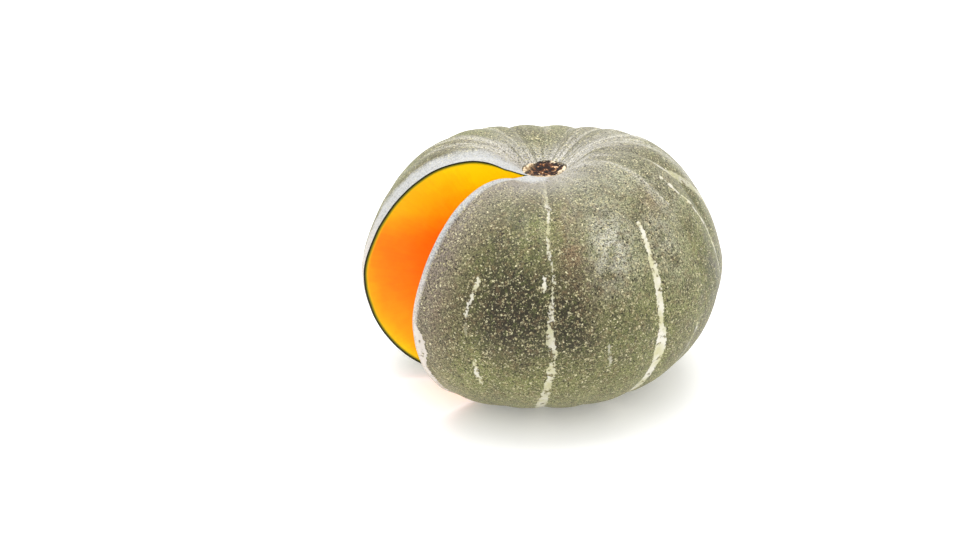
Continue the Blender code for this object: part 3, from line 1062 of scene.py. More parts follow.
@dataclass
class SeedNest:
    """What fills the seed cavity: pulp with a hollow in it, strands down its wall, and seeds."""

    cavity: SeedCavity
    wedge: MissingWedge
    gap: float = 0.0004
    recess: float = 0.0012
    knife_reach: float = 0.2
    knife_height: float = 0.4
    hollow_centre: Vector = Vector((-0.023, -0.0077, 0.069))
    hollow_size: Vector = Vector((0.025, 0.016, 0.029))
    lump: float = 0.0022
    lump_size: float = 0.008
    free_share: tuple[float, float] = (0.03, 0.12)
    fibre: float = 0.0006
    fibre_size: float = 0.0021
    fibre_stretch: float = 0.22
    fibre_bend: float = 0.003
    fibre_bend_size: float = 0.012
    tuft: float = 0.0011
    tuft_size: float = 0.0048
    seed_length: float = 0.0165
    seed_width: float = 0.0095
    seed_thickness: float = 0.0036
    seed_taper: float = 0.35
    seed_rim: float = 0.25
    seed_rim_place: float = 0.86
    seed_rim_width: float = 0.08
    seed_rows: int = 6
    seeds_in_row: int = 4
    seed_top_row: float = 0.78
    seed_step: float = math.radians(46)
    seed_sunk_share: float = 0.38
    seed_scatter: float = 0.05
    seed_lean: float = 0.75
    seed_roll: float = math.radians(50)
    seed_stagger: float = 0.25
    strand_count: int = 30
    strand_steps: int = 22
    strand_fan: float = math.radians(150)
    strand_turn: float = 0.1
    strand_bow: float = 0.3
    strand_end: tuple[float, float] = (0.6, 0.9)
    strand_slack: tuple[float, float] = (0.0005, 0.0038)
    strand_sunk: float = 0.0003
    strand_wave: float = 0.12
    strand_radius: tuple[float, float] = (0.0003, 0.0007)
    strand_swell: tuple[float, float] = (0.7, 1.2)
    random_seed: int = 2
    voxel: float = 0.0011

    def lumpy(self, point: Vector) -> Vector:
        """A point of the hollow's wall moved out from its centre, or towards it."""
        out = (point - self.hollow_centre).normalized()
        return point + out * self.lump * noise.noise(point / self.lump_size)

    def hollow_point(self, turn: float, height: float) -> tuple[Vector, Vector]:
        """A point on the hollow's wall and its outward direction; turn 0 looks along +X."""
        flat = math.sqrt(1 - height * height)
        unit = Vector((flat * math.cos(turn), flat * math.sin(turn), height))
        point = self.lumpy(self.hollow_centre + unit * self.hollow_size)
        out = Vector(a / b for a, b in zip(unit, self.hollow_size)).normalized()
        return point, out

    def ball(self, name: str, centre: Vector, size: Vector) -> bpy.types.Object:
        """A sphere primitive stretched to an ellipsoid at its place."""
        bpy.ops.object.select_all(action="DESELECT")
        bpy.ops.mesh.primitive_uv_sphere_add(segments=96, ring_count=64, radius=1.0)
        made = bpy.context.object
        made.name = name
        displaced(made, lambda place, _: centre + place * size)
        return made

    def knife(self) -> bpy.types.Object:
        """The missing wedge as a prism, its faces moved into the pulp by the recess."""
        bpy.ops.object.select_all(action="DESELECT")
        bpy.ops.mesh.primitive_cylinder_add(vertices=3, radius=1.0, depth=1.0)
        made = bpy.context.object
        back = self.recess / math.sin(self.wedge.half_angle)
        spread = (self.knife_reach + back) * math.tan(self.wedge.half_angle)
        corners = [Vector((-self.knife_reach, side, 0)) for side in (spread, -spread)]
        corners.insert(0, Vector((back, 0, 0)))
        for vertex in made.data.vertices:
            turn = math.atan2(vertex.co.x, vertex.co.y)
            corner = corners[round(turn / (math.tau / 3)) % 3]
            rise = Vector((0, 0, self.knife_height * vertex.co.z))
            vertex.co = self.wedge.apex + corner + rise
        tidy_mesh(made)
        return made

    def carve(self, piece: bpy.types.Object, tool: bpy.types.Object) -> None:
        """Takes the tool's space out of the piece and removes the tool."""
        apply_modifier(piece, "BOOLEAN", operation="DIFFERENCE", solver="EXACT", object=tool)
        bpy.data.objects.remove(tool)

    def stringy(self, place: Vector, normal: Vector) -> Vector:
        """Raises fibres and lumps on the pulp, but not where it lies against the flesh."""
        offset = place - self.cavity.centre
        size = Vector((self.cavity.radius, self.cavity.radius, self.cavity.half_height))
        depth = 1 - Vector(a / b for a, b in zip(offset, size)).length
        free = smooth(depth, *self.free_share)
        bent = Vector((place.x, place.y, place.z * self.fibre_stretch))
        bent += self.fibre_bend * noise.noise_vector(place / self.fibre_bend_size)
        fibres = 1 - abs(noise.noise(bent / self.fibre_size)) * 2
        tufts = noise.noise(place / self.tuft_size)
        return place + normal * free * (self.fibre * fibres + self.tuft * tufts)

    def pulp(self) -> bpy.types.Object:
        """The pulp: an ellipsoid, cut by the knife and hollowed, with fibres on what shows."""
        size = Vector((self.cavity.radius, self.cavity.radius, self.cavity.half_height))
        pulp = self.ball("pumpkin_pulp", self.cavity.centre, size - Vector((self.gap,) * 3))
        hollow = self.ball("hollow", self.hollow_centre, self.hollow_size)
        displaced(hollow, lambda place, _: self.lumpy(place))
        self.carve(pulp, self.knife())
        self.carve(pulp, hollow)
        apply_modifier(pulp, "REMESH", mode="VOXEL", voxel_size=self.voxel)
        displaced(pulp, self.stringy)
        tidy_mesh(pulp)
        bpy.ops.object.shade_smooth()
        pulp.data.materials.append(PulpFinish().material())
        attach(pulp, BODY)
        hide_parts("seed_pulp")
        return pulp

    def seed_places(self) -> Iterator[Matrix]:
        """Where each seed sits: rows round the hollow's back wall, tips sunk in the pulp."""
        draw = random.Random(self.random_seed)
        for row in range(self.seed_rows):
            height = self.seed_top_row * (2 * row / (self.seed_rows - 1) - 1)
            for step in range(self.seeds_in_row):
                stagger = self.seed_stagger if row % 2 else -self.seed_stagger
                spread = step - (self.seeds_in_row - 1) / 2 + stagger
                turn = spread * self.seed_step + draw.uniform(-2, 2) * self.seed_scatter
                up = height + draw.uniform(-1, 1) * self.seed_scatter
                point, out = self.hollow_point(turn, up)
                side = out.cross(Vector((0, 0, 1))).normalized()
                along = out + side * draw.uniform(-1, 1) * self.seed_lean
                along.z += draw.uniform(-1, 1) * self.seed_lean
                along.normalize()
                face = along.cross(Vector((0, 0, 1))).normalized()
                face = Matrix.Rotation(draw.uniform(-1, 1) * self.seed_roll, 3, along) @ face
                turned = Matrix((face.cross(along), face, along)).transposed().to_4x4()
                middle = point - along * (0.5 - self.seed_sunk_share) * self.seed_length
                yield Matrix.Translation(middle) @ turned

    def seed_shape(self, place: Vector) -> Vector:
        """One flat seed from a unit ball: it narrows towards +Z and has a raised rim."""
        polar = math.acos(max(-1.0, min(1.0, place.z)))
        width = 0.5 * self.seed_width * (1 - self.seed_taper * math.cos(polar))
        flat = math.hypot(place.x, place.z)
        rim = 1 + self.seed_rim * bump(flat, self.seed_rim_place, self.seed_rim_width)
        thickness = 0.5 * self.seed_thickness * place.y * rim
        return Vector((width * place.x, thickness, 0.5 * self.seed_length * place.z))

    def seeds(self) -> bpy.types.Object:
        """All the seeds as one piece, each a copy of the first in its own place."""
        bpy.ops.object.select_all(action="DESELECT")
        bpy.ops.mesh.primitive_uv_sphere_add(segments=24, ring_count=18, radius=1.0)
        first = bpy.context.object
        displaced(first, lambda place, _: self.seed_shape(place))
        made = []
        for place in self.seed_places():
            seed = first.copy()
            seed.data = first.data.copy()
            seed.data.transform(place)
            bpy.context.collection.objects.link(seed)
            made.append(seed)
        bpy.data.objects.remove(first)
        seeds = joined("pumpkin_seeds", made)
        bpy.ops.object.shade_smooth()
        seeds.data.materials.append(SeedFinish().material())
        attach(seeds, BODY)
        return seeds

    def strand_route(self, draw: random.Random, index: int) -> list[Vector]:
        """The points of one limp fibre down the hollow's wall."""
        start = self.strand_fan * (index / (self.strand_count - 1) - 0.5)
        start += draw.uniform(-self.strand_turn, self.strand_turn)
        bow = draw.uniform(-self.strand_bow, self.strand_bow)
        top = draw.uniform(*self.strand_end)
        low = -draw.uniform(*self.strand_end)
        lift = draw.uniform(*self.strand_slack)
        route = []
        for step in range(self.strand_steps + 1):
            share = step / self.strand_steps
            height = top + (low - top) * share
            wave = self.strand_wave * math.sin(0.7 * step + index) + bow * height
            spot, out = self.hollow_point(start + wave, height)
            slack = lift * math.sin(math.pi * share) - self.strand_sunk
            route.append(spot - out * slack)
        return route

    def strands(self) -> bpy.types.Object:
        """The strands as one piece: curves given a thickness and turned into a mesh."""
        draw = random.Random(self.random_seed + 1)
        made = []
        for index in range(self.strand_count):
            curve = bpy.data.curves.new(f"strand_{index}", "CURVE")
            curve.dimensions = "3D"
            curve.bevel_depth = draw.uniform(*self.strand_radius)
            curve.bevel_resolution = 1
            curve.use_fill_caps = True
            line = curve.splines.new("POLY")
            route = self.strand_route(draw, index)
            line.points.add(len(route) - 1)
            for point, place in zip(line.points, route):
                point.co = (*place, 1)
                point.radius = draw.uniform(*self.strand_swell)
            strand = bpy.data.objects.new(curve.name, curve)
            bpy.context.collection.objects.link(strand)
            made.append(strand)
        select_only(*made)
        bpy.ops.object.convert(target="MESH")
        strands = joined("pumpkin_strands", made)
        tidy_mesh(strands)
        bpy.ops.object.shade_smooth()
        strands.data.materials.append(PulpFinish("squash_strand", "#f8a436", "#ffd98a").material())
        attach(strands, BODY)
        return strands


# Finishes


@dataclass(frozen=True)
class Fade:
    """Where a tint fades in: it covers nothing at the start, and all that it may at the end."""

    start: float
    end: float
    cover: float = 1.0


@dataclass(frozen=True)
class Speckles:
    """One layer of small specks on the skin, pale or dark, each in a cell of its own.

    Attributes:
        size_mm: Width of the cell that each speckle lies in.
        smallest: Radius of the smallest speckle, as a share of its cell.
        largest: Radius of the largest one.
        faintest: How much the faintest one covers.
        strongest: How much the strongest one covers.
        tint: Their colour.
    """

    size_mm: float
    smallest: float
    largest: float
    faintest: float
    strongest: float
    tint: str


@dataclass(frozen=True)
class SkinFinish:
    """Hard squash skin: grown, matt with a thin wax bloom, speckled with pale cork cells.

    A fade of a noise is in the noise's own values, speckle_edge is in shares of a speckle's
    cell, the two fades of the button are in metres, and the others are in mm.
    """

    dark: str = "#1c170a"
    olive: str = "#686240"
    green: str = "#80824f"
    leaf: str = "#656d38"
    brown: str = "#80694b"
    grey: str = "#bbb9a9"
    bloom: str = "#9b978d"
    fresh: str = "#cdcac3"
    shade: str = "#6d6b50"
    violet: str = "#877b72"
    blue: str = "#b4b5b5"
    lilac: str = "#cbc3bb"
    # Colour of the painted bounce light from the white floor on the fruit's bottom
    under: str = "#a3a277"
    cream: str = "#d4d0c2"
    straw: str = "#bfbb95"
    button: str = "#7a5c3a"
    layers: tuple[Speckles, ...] = (
        Speckles(1.25, 0.10, 0.58, 0.20, 0.88, "#b8af84"),
        Speckles(1.75, 0.00, 0.42, 0.35, 0.98, "#d8d0a8"),
        Speckles(1.6, 0.00, 0.50, 0.20, 0.95, "#1c170a"),
    )
    speckle_edge: Fade = Fade(-0.04, 0.10)
    grain_mm: float = 0.85
    ragged_mm: float = 2.2
    ragged_scale: float = 900.0
    fleck_mm: float = 3.6
    mottle_mm: float = 9.0
    cloud_mm: float = 34.0
    cloud_green: Fade = Fade(0.35, 0.65)
    mottle_patch: Fade = Fade(0.15, 0.6)
    mottle_dark: Fade = Fade(0.62, 0.3, 0.3)
    mottle_straw: Fade = Fade(0.35, 0.65)
    fleck_brown: Fade = Fade(0.52, 0.66, 0.35)
    fleck_leaf: Fade = Fade(0.48, 0.34, 0.34)
    fleck_hole: Fade = Fade(0.68, 0.55)
    grain_dark: Fade = Fade(0.55, 0.40, 0.72)
    dark_cover: float = 0.9
    painted_floor_bounce: Fade = Fade(176.0, 222.0, 0.9)
    streak_stretch: tuple[float, float, float] = (46.0, 3.0, 0.0)
    streak_lit: Fade = Fade(0.52, 0.61)
    streak_shade: Fade = Fade(0.50, 0.38)
    lit_cover: float = 0.62
    shade_cover: float = 0.9
    shoulder: Fade = Fade(125.0, 45.0)
    haze: Fade = Fade(72.0, 32.0)
    haze_cover: float = 0.85
    haze_on_speckles: float = 0.15
    newest: Fade = Fade(40.0, 18.0, 0.88)
    # A violet haze beside the near cut, strongest in its upper part: painted reflection
    near_reflection_haze: Fade = Fade(34.0, 2.0)
    near_haze_upper: Fade = Fade(215.0, 110.0)
    near_haze_cover: float = 0.8
    # The painted reflection along both knife edges: its reach, its wandering, where it turns lilac,
    # and how much lies over the specks
    strip_wander_mm: float = 8.0
    far_edge_reflection: Fade = Fade(15.5, 7.0, 0.88)
    near_edge_reflection: Fade = Fade(4.6, 1.4, 0.85)
    near_reflection_wander: float = 0.4
    reflection_lilac: Fade = Fade(105.0, 150.0)
    reflection_on_speckles: float = 0.6
    torn_mm: tuple[tuple[float, float], ...] = ((2.0, 3.8), (6.5, 2.8))
    stripe_lilac: Fade = Fade(14.0, 8.0)
    stripe_edge: Fade = Fade(-0.1, 0.5, 0.95)
    button_edge: Fade = Fade(0.0060, 0.0045)
    button_height: Fade = Fade(0.02, 0.01)

    def material(self) -> bpy.types.Material:
        """Builds the node tree."""
        made, tree, where = new_material("squash_skin")
        skin_map = add_node(tree, "UVMap", uv_map="skin_map").outputs["UV"]
        down = add_node(tree, "SeparateXYZ", {0: skin_map}).outputs["Y"]
        below = add_node(tree, "Math", {0: down, 1: SKIN_MAP_MM}, operation="MULTIPLY").outputs[0]

        def mark(name: str) -> bpy.types.NodeSocket:
            """One of the fruit's own attributes."""
            return add_node(tree, "Attribute", attribute_name=name).outputs["Fac"]

        def clouds(size_mm: float, detail: float = 2.0, rough: float = 0.5) -> bpy.types.NodeSocket:
            """Soft noise of a size in mm."""
            inputs = {"Vector": where, "Scale": 1000 / size_mm, "Detail": detail, "Roughness": rough}
            return add_node(tree, "TexNoise", inputs).outputs["Fac"]

        def covering(*parts: object) -> bpy.types.NodeSocket:
            """How much a layer covers.

            Args:
                *parts: Marks, shares, and pairs of a value and the fade that it goes through.

            Returns:
                Their product, kept between 0 and 1.
            """
            whole = None
            for part in parts:
                if isinstance(part, tuple):
                    value, fade = part
                    inputs = {"Value": value, "From Min": fade.start, "From Max": fade.end}
                    inputs["To Max"] = fade.cover
                    faded = add_node(tree, "MapRange", inputs, interpolation_type="SMOOTHSTEP")
                    part = faded.outputs[0]
                if whole is not None:
                    inputs = {0: whole, 1: part}
                    product = add_node(tree, "Math", inputs, operation="MULTIPLY", use_clamp=True)
                    part = product.outputs[0]
                whole = part
            return whole

        def laid(under: object, over: object, *parts: object) -> bpy.types.NodeSocket:
            """One colour laid over another, as far as the parts cover; a tint may be a hex code."""
            under, over = (linear(tint) if isinstance(tint, str) else tint for tint in (under, over))
            inputs = {"Factor": covering(*parts), "A": under, "B": over}
            return add_node(tree, "Mix", inputs, data_type="RGBA").outputs["Result"]

        mottle = clouds(self.mottle_mm, 3.0)
        cloud = clouds(self.cloud_mm, 2.0)
        fleck = clouds(self.fleck_mm, 2.0, 0.6)
        colour = laid(self.olive, self.green, (cloud, self.cloud_green))
        for name, tint in (("green", self.green), ("grey", self.grey), ("brown", self.brown)):
            colour = laid(colour, tint, mark(name), (mottle, self.mottle_patch))
        # Paler towards the bottom: painted bounce light from the white floor
        colour = laid(colour, self.under, (below, self.painted_floor_bounce))
        inputs = {0: mark("dark"), 1: covering((mottle, self.mottle_dark))}
        deep = add_node(tree, "Math", inputs, operation="ADD", use_clamp=True).outputs[0]
        colour = laid(colour, self.dark, deep, self.dark_cover)
        colour = laid(colour, self.brown, (fleck, self.fleck_brown))
        colour = laid(colour, self.leaf, (fleck, self.fleck_leaf))

        # Streaks that run from the stem down the shoulder, a few mm wide
        stretch = {0: skin_map, 1: self.streak_stretch}
        drawn = add_node(tree, "VectorMath", stretch, operation="MULTIPLY").outputs[0]
        inputs = {"Vector": drawn, "Scale": 1.0, "Detail": 4.0, "Roughness": 0.65}
        streak = add_node(tree, "TexNoise", inputs).outputs["Fac"]
        shoulder = covering((below, self.shoulder), mark("streaky"))

        # Wax bloom round the stem, and a painted reflection haze beside the near cut
        covered = add_node(tree, "Math", {0: 1.0, 1: mark("bare")}, operation="SUBTRACT").outputs[0]
        hazy = covering((below, self.haze), covered)
        colour = laid(colour, self.bloom, hazy, self.haze_cover)
        colour = laid(colour, self.fresh, (below, self.newest), covered)
        # Painted reflection: a violet haze on the skin beside the near cut
        near = (mark("near_cut_mm"), self.near_reflection_haze)
        colour = laid(colour, self.violet, near, (below, self.near_haze_upper), self.near_haze_cover)
        colour = laid(colour, self.shade, (streak, self.streak_shade), shoulder, self.shade_cover)
        lit = (streak, self.streak_lit)
        colour = laid(colour, self.cream, lit, shoulder, self.lit_cover, covered)

        # Painted reflection: a pale bluish band on the skin along both knife edges, lilac lower down
        wander = {0: mottle, 1: self.strip_wander_mm, 2: -self.strip_wander_mm / 2}
        uneven = add_node(tree, "Math", wander, operation="MULTIPLY_ADD").outputs[0]
        inputs = {0: mark("far_cut_mm"), 1: uneven}
        strip = add_node(tree, "Math", inputs, operation="ADD").outputs[0]
        inputs = {0: mark("near_cut_mm"), 1: covering(uneven, self.near_reflection_wander)}
        rim = add_node(tree, "Math", inputs, operation="ADD").outputs[0]
        inputs = {0: covering((strip, self.far_edge_reflection)), 1: covering((rim, self.near_edge_reflection))}
        edge_reflection = add_node(tree, "Math", inputs, operation="MAXIMUM").outputs[0]
        # The tint of the painted reflection: bluish above, lilac lower down
        wax = laid(self.blue, self.lilac, (below, self.reflection_lilac))
        colour = laid(colour, wax, edge_reflection)

        # Cork cells, drawn a little larger than life
        inputs = {"Vector": where, "Scale": self.ragged_scale, "Detail": 1.0}
        ragged = add_node(tree, "TexNoise", inputs).outputs["Color"]
        inputs = {0: ragged, 1: (self.ragged_mm * MM,) * 3, 2: where}
        moved = add_node(tree, "VectorMath", inputs, operation="MULTIPLY_ADD").outputs[0]
        for layer in self.layers:
            cells = add_node(tree, "TexVoronoi", {"Vector": moved, "Scale": 1000 / layer.size_mm})
            draws = add_node(tree, "SeparateColor", {0: cells.outputs["Color"]}).outputs
            inputs = {"Value": draws["Red"], "To Min": layer.smallest, "To Max": layer.largest}
            reach = add_node(tree, "MapRange", inputs).outputs[0]
            inputs = {0: reach, 1: cells.outputs["Distance"]}
            inside = add_node(tree, "Math", inputs, operation="SUBTRACT").outputs[0]
            inputs = {"Value": draws["Green"], "To Min": layer.faintest, "To Max": layer.strongest}
            cover = add_node(tree, "MapRange", inputs).outputs[0]
            colour = laid(colour, layer.tint, (inside, self.speckle_edge), cover)
        grain = clouds(self.grain_mm, 2.0, 0.7)
        colour = laid(colour, self.dark, (grain, self.grain_dark))
        colour = laid(colour, self.bloom, hazy, self.haze_on_speckles)
        # The painted reflection along the knife edges also lies over the specks
        colour = laid(colour, wax, edge_reflection, self.reflection_on_speckles)

        # Cream stripes in the sutures, torn at their edges
        edge = mark("stripe_mm")
        for size, amount in self.torn_mm:
            inputs = {0: clouds(size, 2.0, 0.6), 1: amount, 2: edge}
            torn = add_node(tree, "Math", inputs, operation="MULTIPLY_ADD").outputs[0]
            edge = add_node(tree, "Math", {0: torn, 1: amount / 2}, operation="SUBTRACT").outputs[0]
        pale = laid(self.cream, self.straw, (mottle, self.mottle_straw))
        pale = laid(pale, self.lilac, (mark("near_cut_mm"), self.stripe_lilac))
        pierced = covering(mark("stripe_cover"), (fleck, self.fleck_hole))
        colour = laid(colour, pale, (edge, self.stripe_edge), pierced)

        # The corky blossom button, under the fruit
        flat = add_node(tree, "VectorMath", {0: where, 1: (1.0, 1.0, 0.0)}, operation="MULTIPLY")
        inputs = {0: flat.outputs[0]}
        length = add_node(tree, "VectorMath", inputs, operation="LENGTH").outputs["Value"]
        height = add_node(tree, "SeparateXYZ", {0: where}).outputs["Z"]
        low = (height, self.button_height)
        colour = laid(colour, self.button, (length, self.button_edge), low)

        rise = add_node(tree, "Math", {0: grain, 1: mottle}, operation="ADD").outputs[0]
        relief = add_node(tree, "Bump", {"Height": rise, "Distance": 0.0004, "Strength": 0.35})
        inputs = {"Value": mottle, "From Min": 0.2, "From Max": 0.8, "To Min": 0.42, "To Max": 0.6}
        rough = add_node(tree, "MapRange", inputs).outputs[0]
        sheen = {"Roughness": rough, "IOR": 1.45, "Specular IOR Level": 0.32}
        finish_shader(tree, colour, relief, sheen)
        return made


@dataclass(frozen=True)
class FleshFinish:
    """Fresh cut squash flesh: moist, yellow under the dark rind and orange towards the seeds, with
    painted shade and painted orange bounce light on the cut faces.
    """

    bands: tuple[tuple[float, str], ...] = (
        (0.0, "#f3cc00"),
        (5.0, "#f1be00"),
        (10.0, "#f0b200"),
        (15.0, "#efa800"),
        (20.0, "#ef9e00"),
        (30.0, "#ee8a00"),
        (40.0, "#ec7400"),
        (60.0, "#e45600"),
    )
    ripest: float = 60.0
    rind: tuple[tuple[float, str], ...] = (
        (0.0, "#14180a"),
        (0.9, "#222a08"),
        (1.5, "#7c7a10"),
        (2.4, "#ccb405"),
    )
    rind_mm: float = 4.0
    rind_end: Fade = Fade(1.5, 3.4)
    fibre_stretch: tuple[float, float, float] = (120.0, 9.0, 0.0)
    soft_drift: float = 9.0
    fibre_drift: float = 8.0
    cell_drift: float = 4.0

    def material(self) -> bpy.types.Material:
        """Builds the node tree."""
        made, tree, where = new_material("squash_flesh")
        depth = add_node(tree, "Attribute", attribute_name="depth_mm").outputs["Fac"]
        # How orange the flesh is, painted shade and orange bounce light included
        value = add_node(tree, "Attribute", attribute_name="ripe_and_bounce").outputs["Fac"]
        cells = add_node(tree, "TexNoise", {"Vector": where, "Scale": 240.0, "Detail": 3.0})
        soft = add_node(tree, "TexNoise", {"Vector": where, "Scale": 60.0, "Detail": 3.0})

        # Fibres run from the seeds to the skin
        face_map = add_node(tree, "UVMap", uv_map="skin_map").outputs["UV"]
        stretch = {0: face_map, 1: self.fibre_stretch}
        drawn = add_node(tree, "VectorMath", stretch, operation="MULTIPLY").outputs[0]
        fibres = add_node(tree, "TexNoise", {"Vector": drawn, "Scale": 1.0, "Detail": 3.0})
        drifts = ((soft, self.soft_drift), (fibres, self.fibre_drift), (cells, self.cell_drift))
        for pattern, spread in drifts:
            inputs = {0: pattern.outputs["Fac"], 1: spread, 2: -spread / 2}
            drift = add_node(tree, "Math", inputs, operation="MULTIPLY_ADD").outputs[0]
            value = add_node(tree, "Math", {0: value, 1: drift}, operation="ADD").outputs[0]
        flesh = colour_bands(tree, value, self.bands, self.ripest)
        rind = colour_bands(tree, depth, self.rind, self.rind_mm)
        reach = {"Value": depth, "From Min": self.rind_end.start, "From Max": self.rind_end.end}
        inland = add_node(tree, "MapRange", reach, interpolation_type="SMOOTHSTEP").outputs[0]
        inputs = {"Factor": inland, "A": rind, "B": flesh}
        colour = add_node(tree, "Mix", inputs, data_type="RGBA").outputs["Result"]
        inputs = {"Height": cells.outputs["Fac"], "Distance": 0.0004, "Strength": 0.25}
        relief = add_node(tree, "Bump", inputs)
        moist = {"Roughness": 0.42, "IOR": 1.33, "Specular IOR Level": 0.3}
        through = {
            "Subsurface Weight": 0.12,
            "Subsurface Radius": (1.0, 0.45, 0.1),
            "Subsurface Scale": 0.004,
        }
        finish_shader(tree, colour, relief, moist | through)
        return made


@dataclass(frozen=True)
class CorkFinish:
    """Dry cork of a broken stem: dark pits, a crumbly cream rim and one smoother, healed side."""

    bands: tuple[tuple[float, str], ...] = (
        (0.44, "#180a03"),
        (0.51, "#351a0a"),
        (0.56, "#663818"),
        (0.60, "#ab7848"),
        (0.65, "#ead2ac"),
    )
    tan: str = "#b3926a"
    healed: str = "#9a825e"
    cream: str = "#ecdcbe"
    rim: Fade = Fade(0.93, 1.0, 0.95)
    rim_wander: float = 0.9
    rim_to_pale_side: float = 0.09
    least_pale: float = 0.12
    healed_contrast: tuple[float, float] = (5.0, -1.8)

    def material(self) -> bpy.types.Material:
        """Builds the node tree."""
        made, tree, where = new_material("stem_cork")
        share, side, flat = (
            add_node(tree, "Attribute", attribute_name=name).outputs["Fac"]
            for name in ("scar_share", "scar_cream", "scar_tan")
        )
        inputs = {"Vector": where, "Scale": 320.0, "Detail": 3.0, "Roughness": 0.6}
        lumps = add_node(tree, "TexNoise", inputs).outputs["Fac"]
        specks = add_node(tree, "TexVoronoi", {"Vector": where, "Scale": 560.0})
        pitted = colour_bands(tree, lumps, self.bands)

        # The rim is uneven, and wider on the pale side
        inputs = {0: lumps, 1: self.rim_wander, 2: -self.rim_wander / 2}
        ragged = add_node(tree, "Math", inputs, operation="MULTIPLY_ADD").outputs[0]
        inputs = {0: side, 1: self.rim_to_pale_side, 2: share}
        fresh = add_node(tree, "Math", inputs, operation="MULTIPLY_ADD").outputs[0]
        outward = add_node(tree, "Math", {0: fresh, 1: ragged}, operation="ADD").outputs[0]
        inputs = {"Value": outward, "From Min": self.rim.start, "From Max": self.rim.end}
        inputs["To Max"] = self.rim.cover
        rim = add_node(tree, "MapRange", inputs, interpolation_type="SMOOTHSTEP").outputs[0]
        crumbs = add_node(tree, "SeparateColor", {0: specks.outputs["Color"]}).outputs["Red"]
        inputs = {0: side, 1: crumbs, 2: self.least_pale}
        pale = add_node(tree, "Math", inputs, operation="MULTIPLY_ADD", use_clamp=True).outputs[0]

        # The healed side is smoother, with lumps of its own
        inputs = {0: lumps, 1: self.healed_contrast[0], 2: self.healed_contrast[1]}
        crumbly = add_node(tree, "Math", inputs, operation="MULTIPLY_ADD").outputs[0]
        inputs = {0: crumbly, 1: flat}
        healing = add_node(tree, "Math", inputs, operation="MULTIPLY", use_clamp=True).outputs[0]
        edge, face = (
            add_node(tree, "Mix", inputs, data_type="RGBA").outputs["Result"]
            for inputs in (
                {"Factor": pale, "A": linear(self.tan), "B": linear(self.cream)},
                {"Factor": healing, "A": pitted, "B": linear(self.healed)},
            )
        )
        inputs = {"Factor": rim, "A": face, "B": edge}
        colour = add_node(tree, "Mix", inputs, data_type="RGBA").outputs["Result"]
        inputs = {"Height": specks.outputs["Distance"], "Distance": 0.0006, "Strength": 0.6}
        finish_shader(tree, colour, add_node(tree, "Bump", inputs), {"Roughness": 0.9})
        return made


@dataclass(frozen=True)
class PulpFinish:
    """Wet stringy pulp: deep orange, its fibres paler."""

    name: str = "squash_pulp"
    deep: str = "#f07c0a"
    fibre: str = "#ffbe3c"

    def material(self) -> bpy.types.Material:
        """Builds the node tree."""
        made, tree, where = new_material(self.name)
        stretch = {0: where, 1: (1.0, 1.0, 0.25)}
        drawn = add_node(tree, "VectorMath", stretch, operation="MULTIPLY").outputs[0]
        inputs = {"Vector": drawn, "Scale": 380.0, "Detail": 4.0}
        fibres = add_node(tree, "TexNoise", inputs).outputs["Fac"]
        inputs = {"Value": fibres, "From Min": 0.42, "From Max": 0.64}
        mixed = add_node(tree, "MapRange", inputs, interpolation_type="SMOOTHSTEP").outputs[0]
        inputs = {"Factor": mixed, "A": linear(self.deep), "B": linear(self.fibre)}
        colour = add_node(tree, "Mix", inputs, data_type="RGBA").outputs["Result"]
        relief = add_node(tree, "Bump", {"Height": fibres, "Distance": 0.0008, "Strength": 0.6})
        finish_shader(tree, colour, relief, {"Roughness": 0.3, "IOR": 1.38})
        return made


@dataclass(frozen=True)
class SeedFinish:
    """Damp seed coat: cream, satin, with slightly darker blotches."""

    coat: str = "#fbefcf"
    blotch: str = "#ead09a"

    def material(self) -> bpy.types.Material:
        """Builds the node tree."""
        made, tree, where = new_material("squash_seed")
        inputs = {"Vector": where, "Scale": 260.0, "Detail": 3.0}
        blotches = add_node(tree, "TexNoise", inputs).outputs["Fac"]
        inputs = {"Factor": blotches, "A": linear(self.coat), "B": linear(self.blotch)}
        colour = add_node(tree, "Mix", inputs, data_type="RGBA").outputs["Result"]
        relief = add_node(tree, "Bump", {"Height": blotches, "Distance": 0.0003, "Strength": 0.3})
        finish_shader(tree, colour, relief, {"Roughness": 0.35})
        return made


# The studio


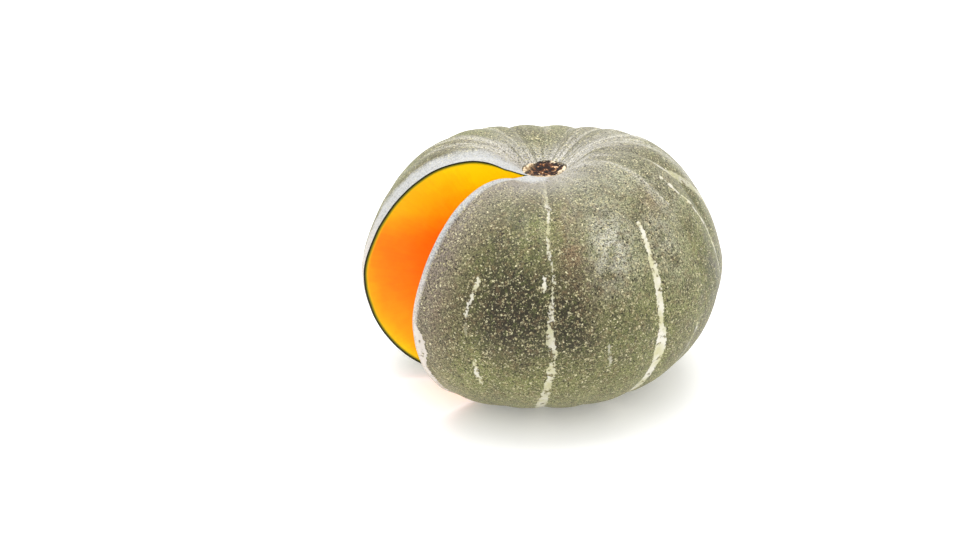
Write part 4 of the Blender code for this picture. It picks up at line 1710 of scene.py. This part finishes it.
@dataclass(frozen=True)
class Studio:
    """A plain white floor, soft light and a camera at the photograph's angle."""

    camera_azimuth: float = math.radians(-27)
    camera_elevation: float = 0.4216
    camera_distance: float = 10.4463 * 0.110
    camera_aside: float = -0.3471 * 0.110
    camera_drop: float = -0.0597 * 0.110
    focal_px: float = 1881.12
    image_width_px: int = 960
    sensor_mm: float = 36.0
    floor_size: float = 8.0
    board: str = "#f4f4f4"
    floor_glow: float = 0.17
    sky: float = 1.3
    light_place: tuple[float, float, float] = (0.1, 0.35, 1.5)
    light_size: float = 1.6
    light_watts: float = 20.0
    light_aim: Vector = Vector((0.0, 0.0, 0.06))

    def camera(self) -> bpy.types.Object:
        """Adds the camera and makes it the scene's."""
        equator = FORM.lower_height - FORM.flat_spot_cut
        away = self.camera_distance * math.cos(self.camera_elevation)
        rise = self.camera_distance * math.sin(self.camera_elevation)
        place = on_ring(away, self.camera_azimuth, rise + equator)
        right = Vector((math.cos(self.camera_azimuth), math.sin(self.camera_azimuth), 0))
        target = right * self.camera_aside + Vector((0, 0, equator + self.camera_drop))
        bpy.ops.object.camera_add(location=place)
        camera = bpy.context.object
        camera.rotation_euler = (target - place).to_track_quat("-Z", "Y").to_euler()
        camera.data.sensor_width = self.sensor_mm
        camera.data.lens = self.focal_px * self.sensor_mm / self.image_width_px
        camera.data.clip_end = 50.0
        bpy.context.scene.camera = camera
        return camera

    def floor(self) -> bpy.types.Object:
        """Adds the floor: matt white board that glows a little, which pales its own shadow and
        lights the bottom of the fruit.
        """
        bpy.ops.mesh.primitive_plane_add(size=self.floor_size)
        floor = bpy.context.object
        floor.name = "studio_floor"
        made = bpy.data.materials.new("white_board")
        made.use_nodes = True
        shader = made.node_tree.nodes["Principled BSDF"]
        shader.inputs["Base Color"].default_value = linear(self.board)
        shader.inputs["Roughness"].default_value = 0.9
        # The board glows like a dim lamp: it pales its shadow and lights the fruit from below
        shader.inputs["Emission Color"].default_value = (1.0, 1.0, 1.0, 1.0)
        shader.inputs["Emission Strength"].default_value = self.floor_glow
        floor.data.materials.append(made)
        floor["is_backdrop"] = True
        return floor

    def light(self) -> None:
        """Adds one soft box that faces the fruit."""
        bpy.ops.object.light_add(type="AREA", location=self.light_place)
        lamp = bpy.context.object
        lamp.data.shape = "SQUARE"
        lamp.data.size = self.light_size
        lamp.data.energy = self.light_watts
        aim = self.light_aim - Vector(self.light_place)
        lamp.rotation_euler = aim.to_track_quat("-Z", "Y").to_euler()

    def build(self) -> None:
        """Adds floor, light, sky and camera."""
        self.floor()
        self.light()
        world = bpy.data.worlds.new("studio_sky")
        world.use_nodes = True
        back = world.node_tree.nodes["Background"]
        back.inputs["Color"].default_value = (1.0, 1.0, 1.0, 1.0)
        back.inputs["Strength"].default_value = self.sky
        bpy.context.scene.world = world
        bpy.context.scene.view_settings.view_transform = "Standard"
        self.camera()


def main() -> None:
    """Builds every piece in order and reports it."""
    logging.basicConfig(level=logging.INFO, format="%(message)s")
    nest = SeedNest(CAVITY, WEDGE)
    pieces = [
        Fruit(FORM, WEDGE, CAVITY).build(),
        SCAR.build(),
        nest.pulp(),
        nest.strands(),
        nest.seeds(),
    ]
    for piece in pieces:
        LOG.info("%s: %d faces", piece.name, len(piece.data.polygons))
    Studio().build()
    boxes = {"cad": CAD_BOX, "visual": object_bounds()}
    {name: [list(corner) for corner in box] for name, box in boxes.items()}


if __name__ == "__main__":
    main()
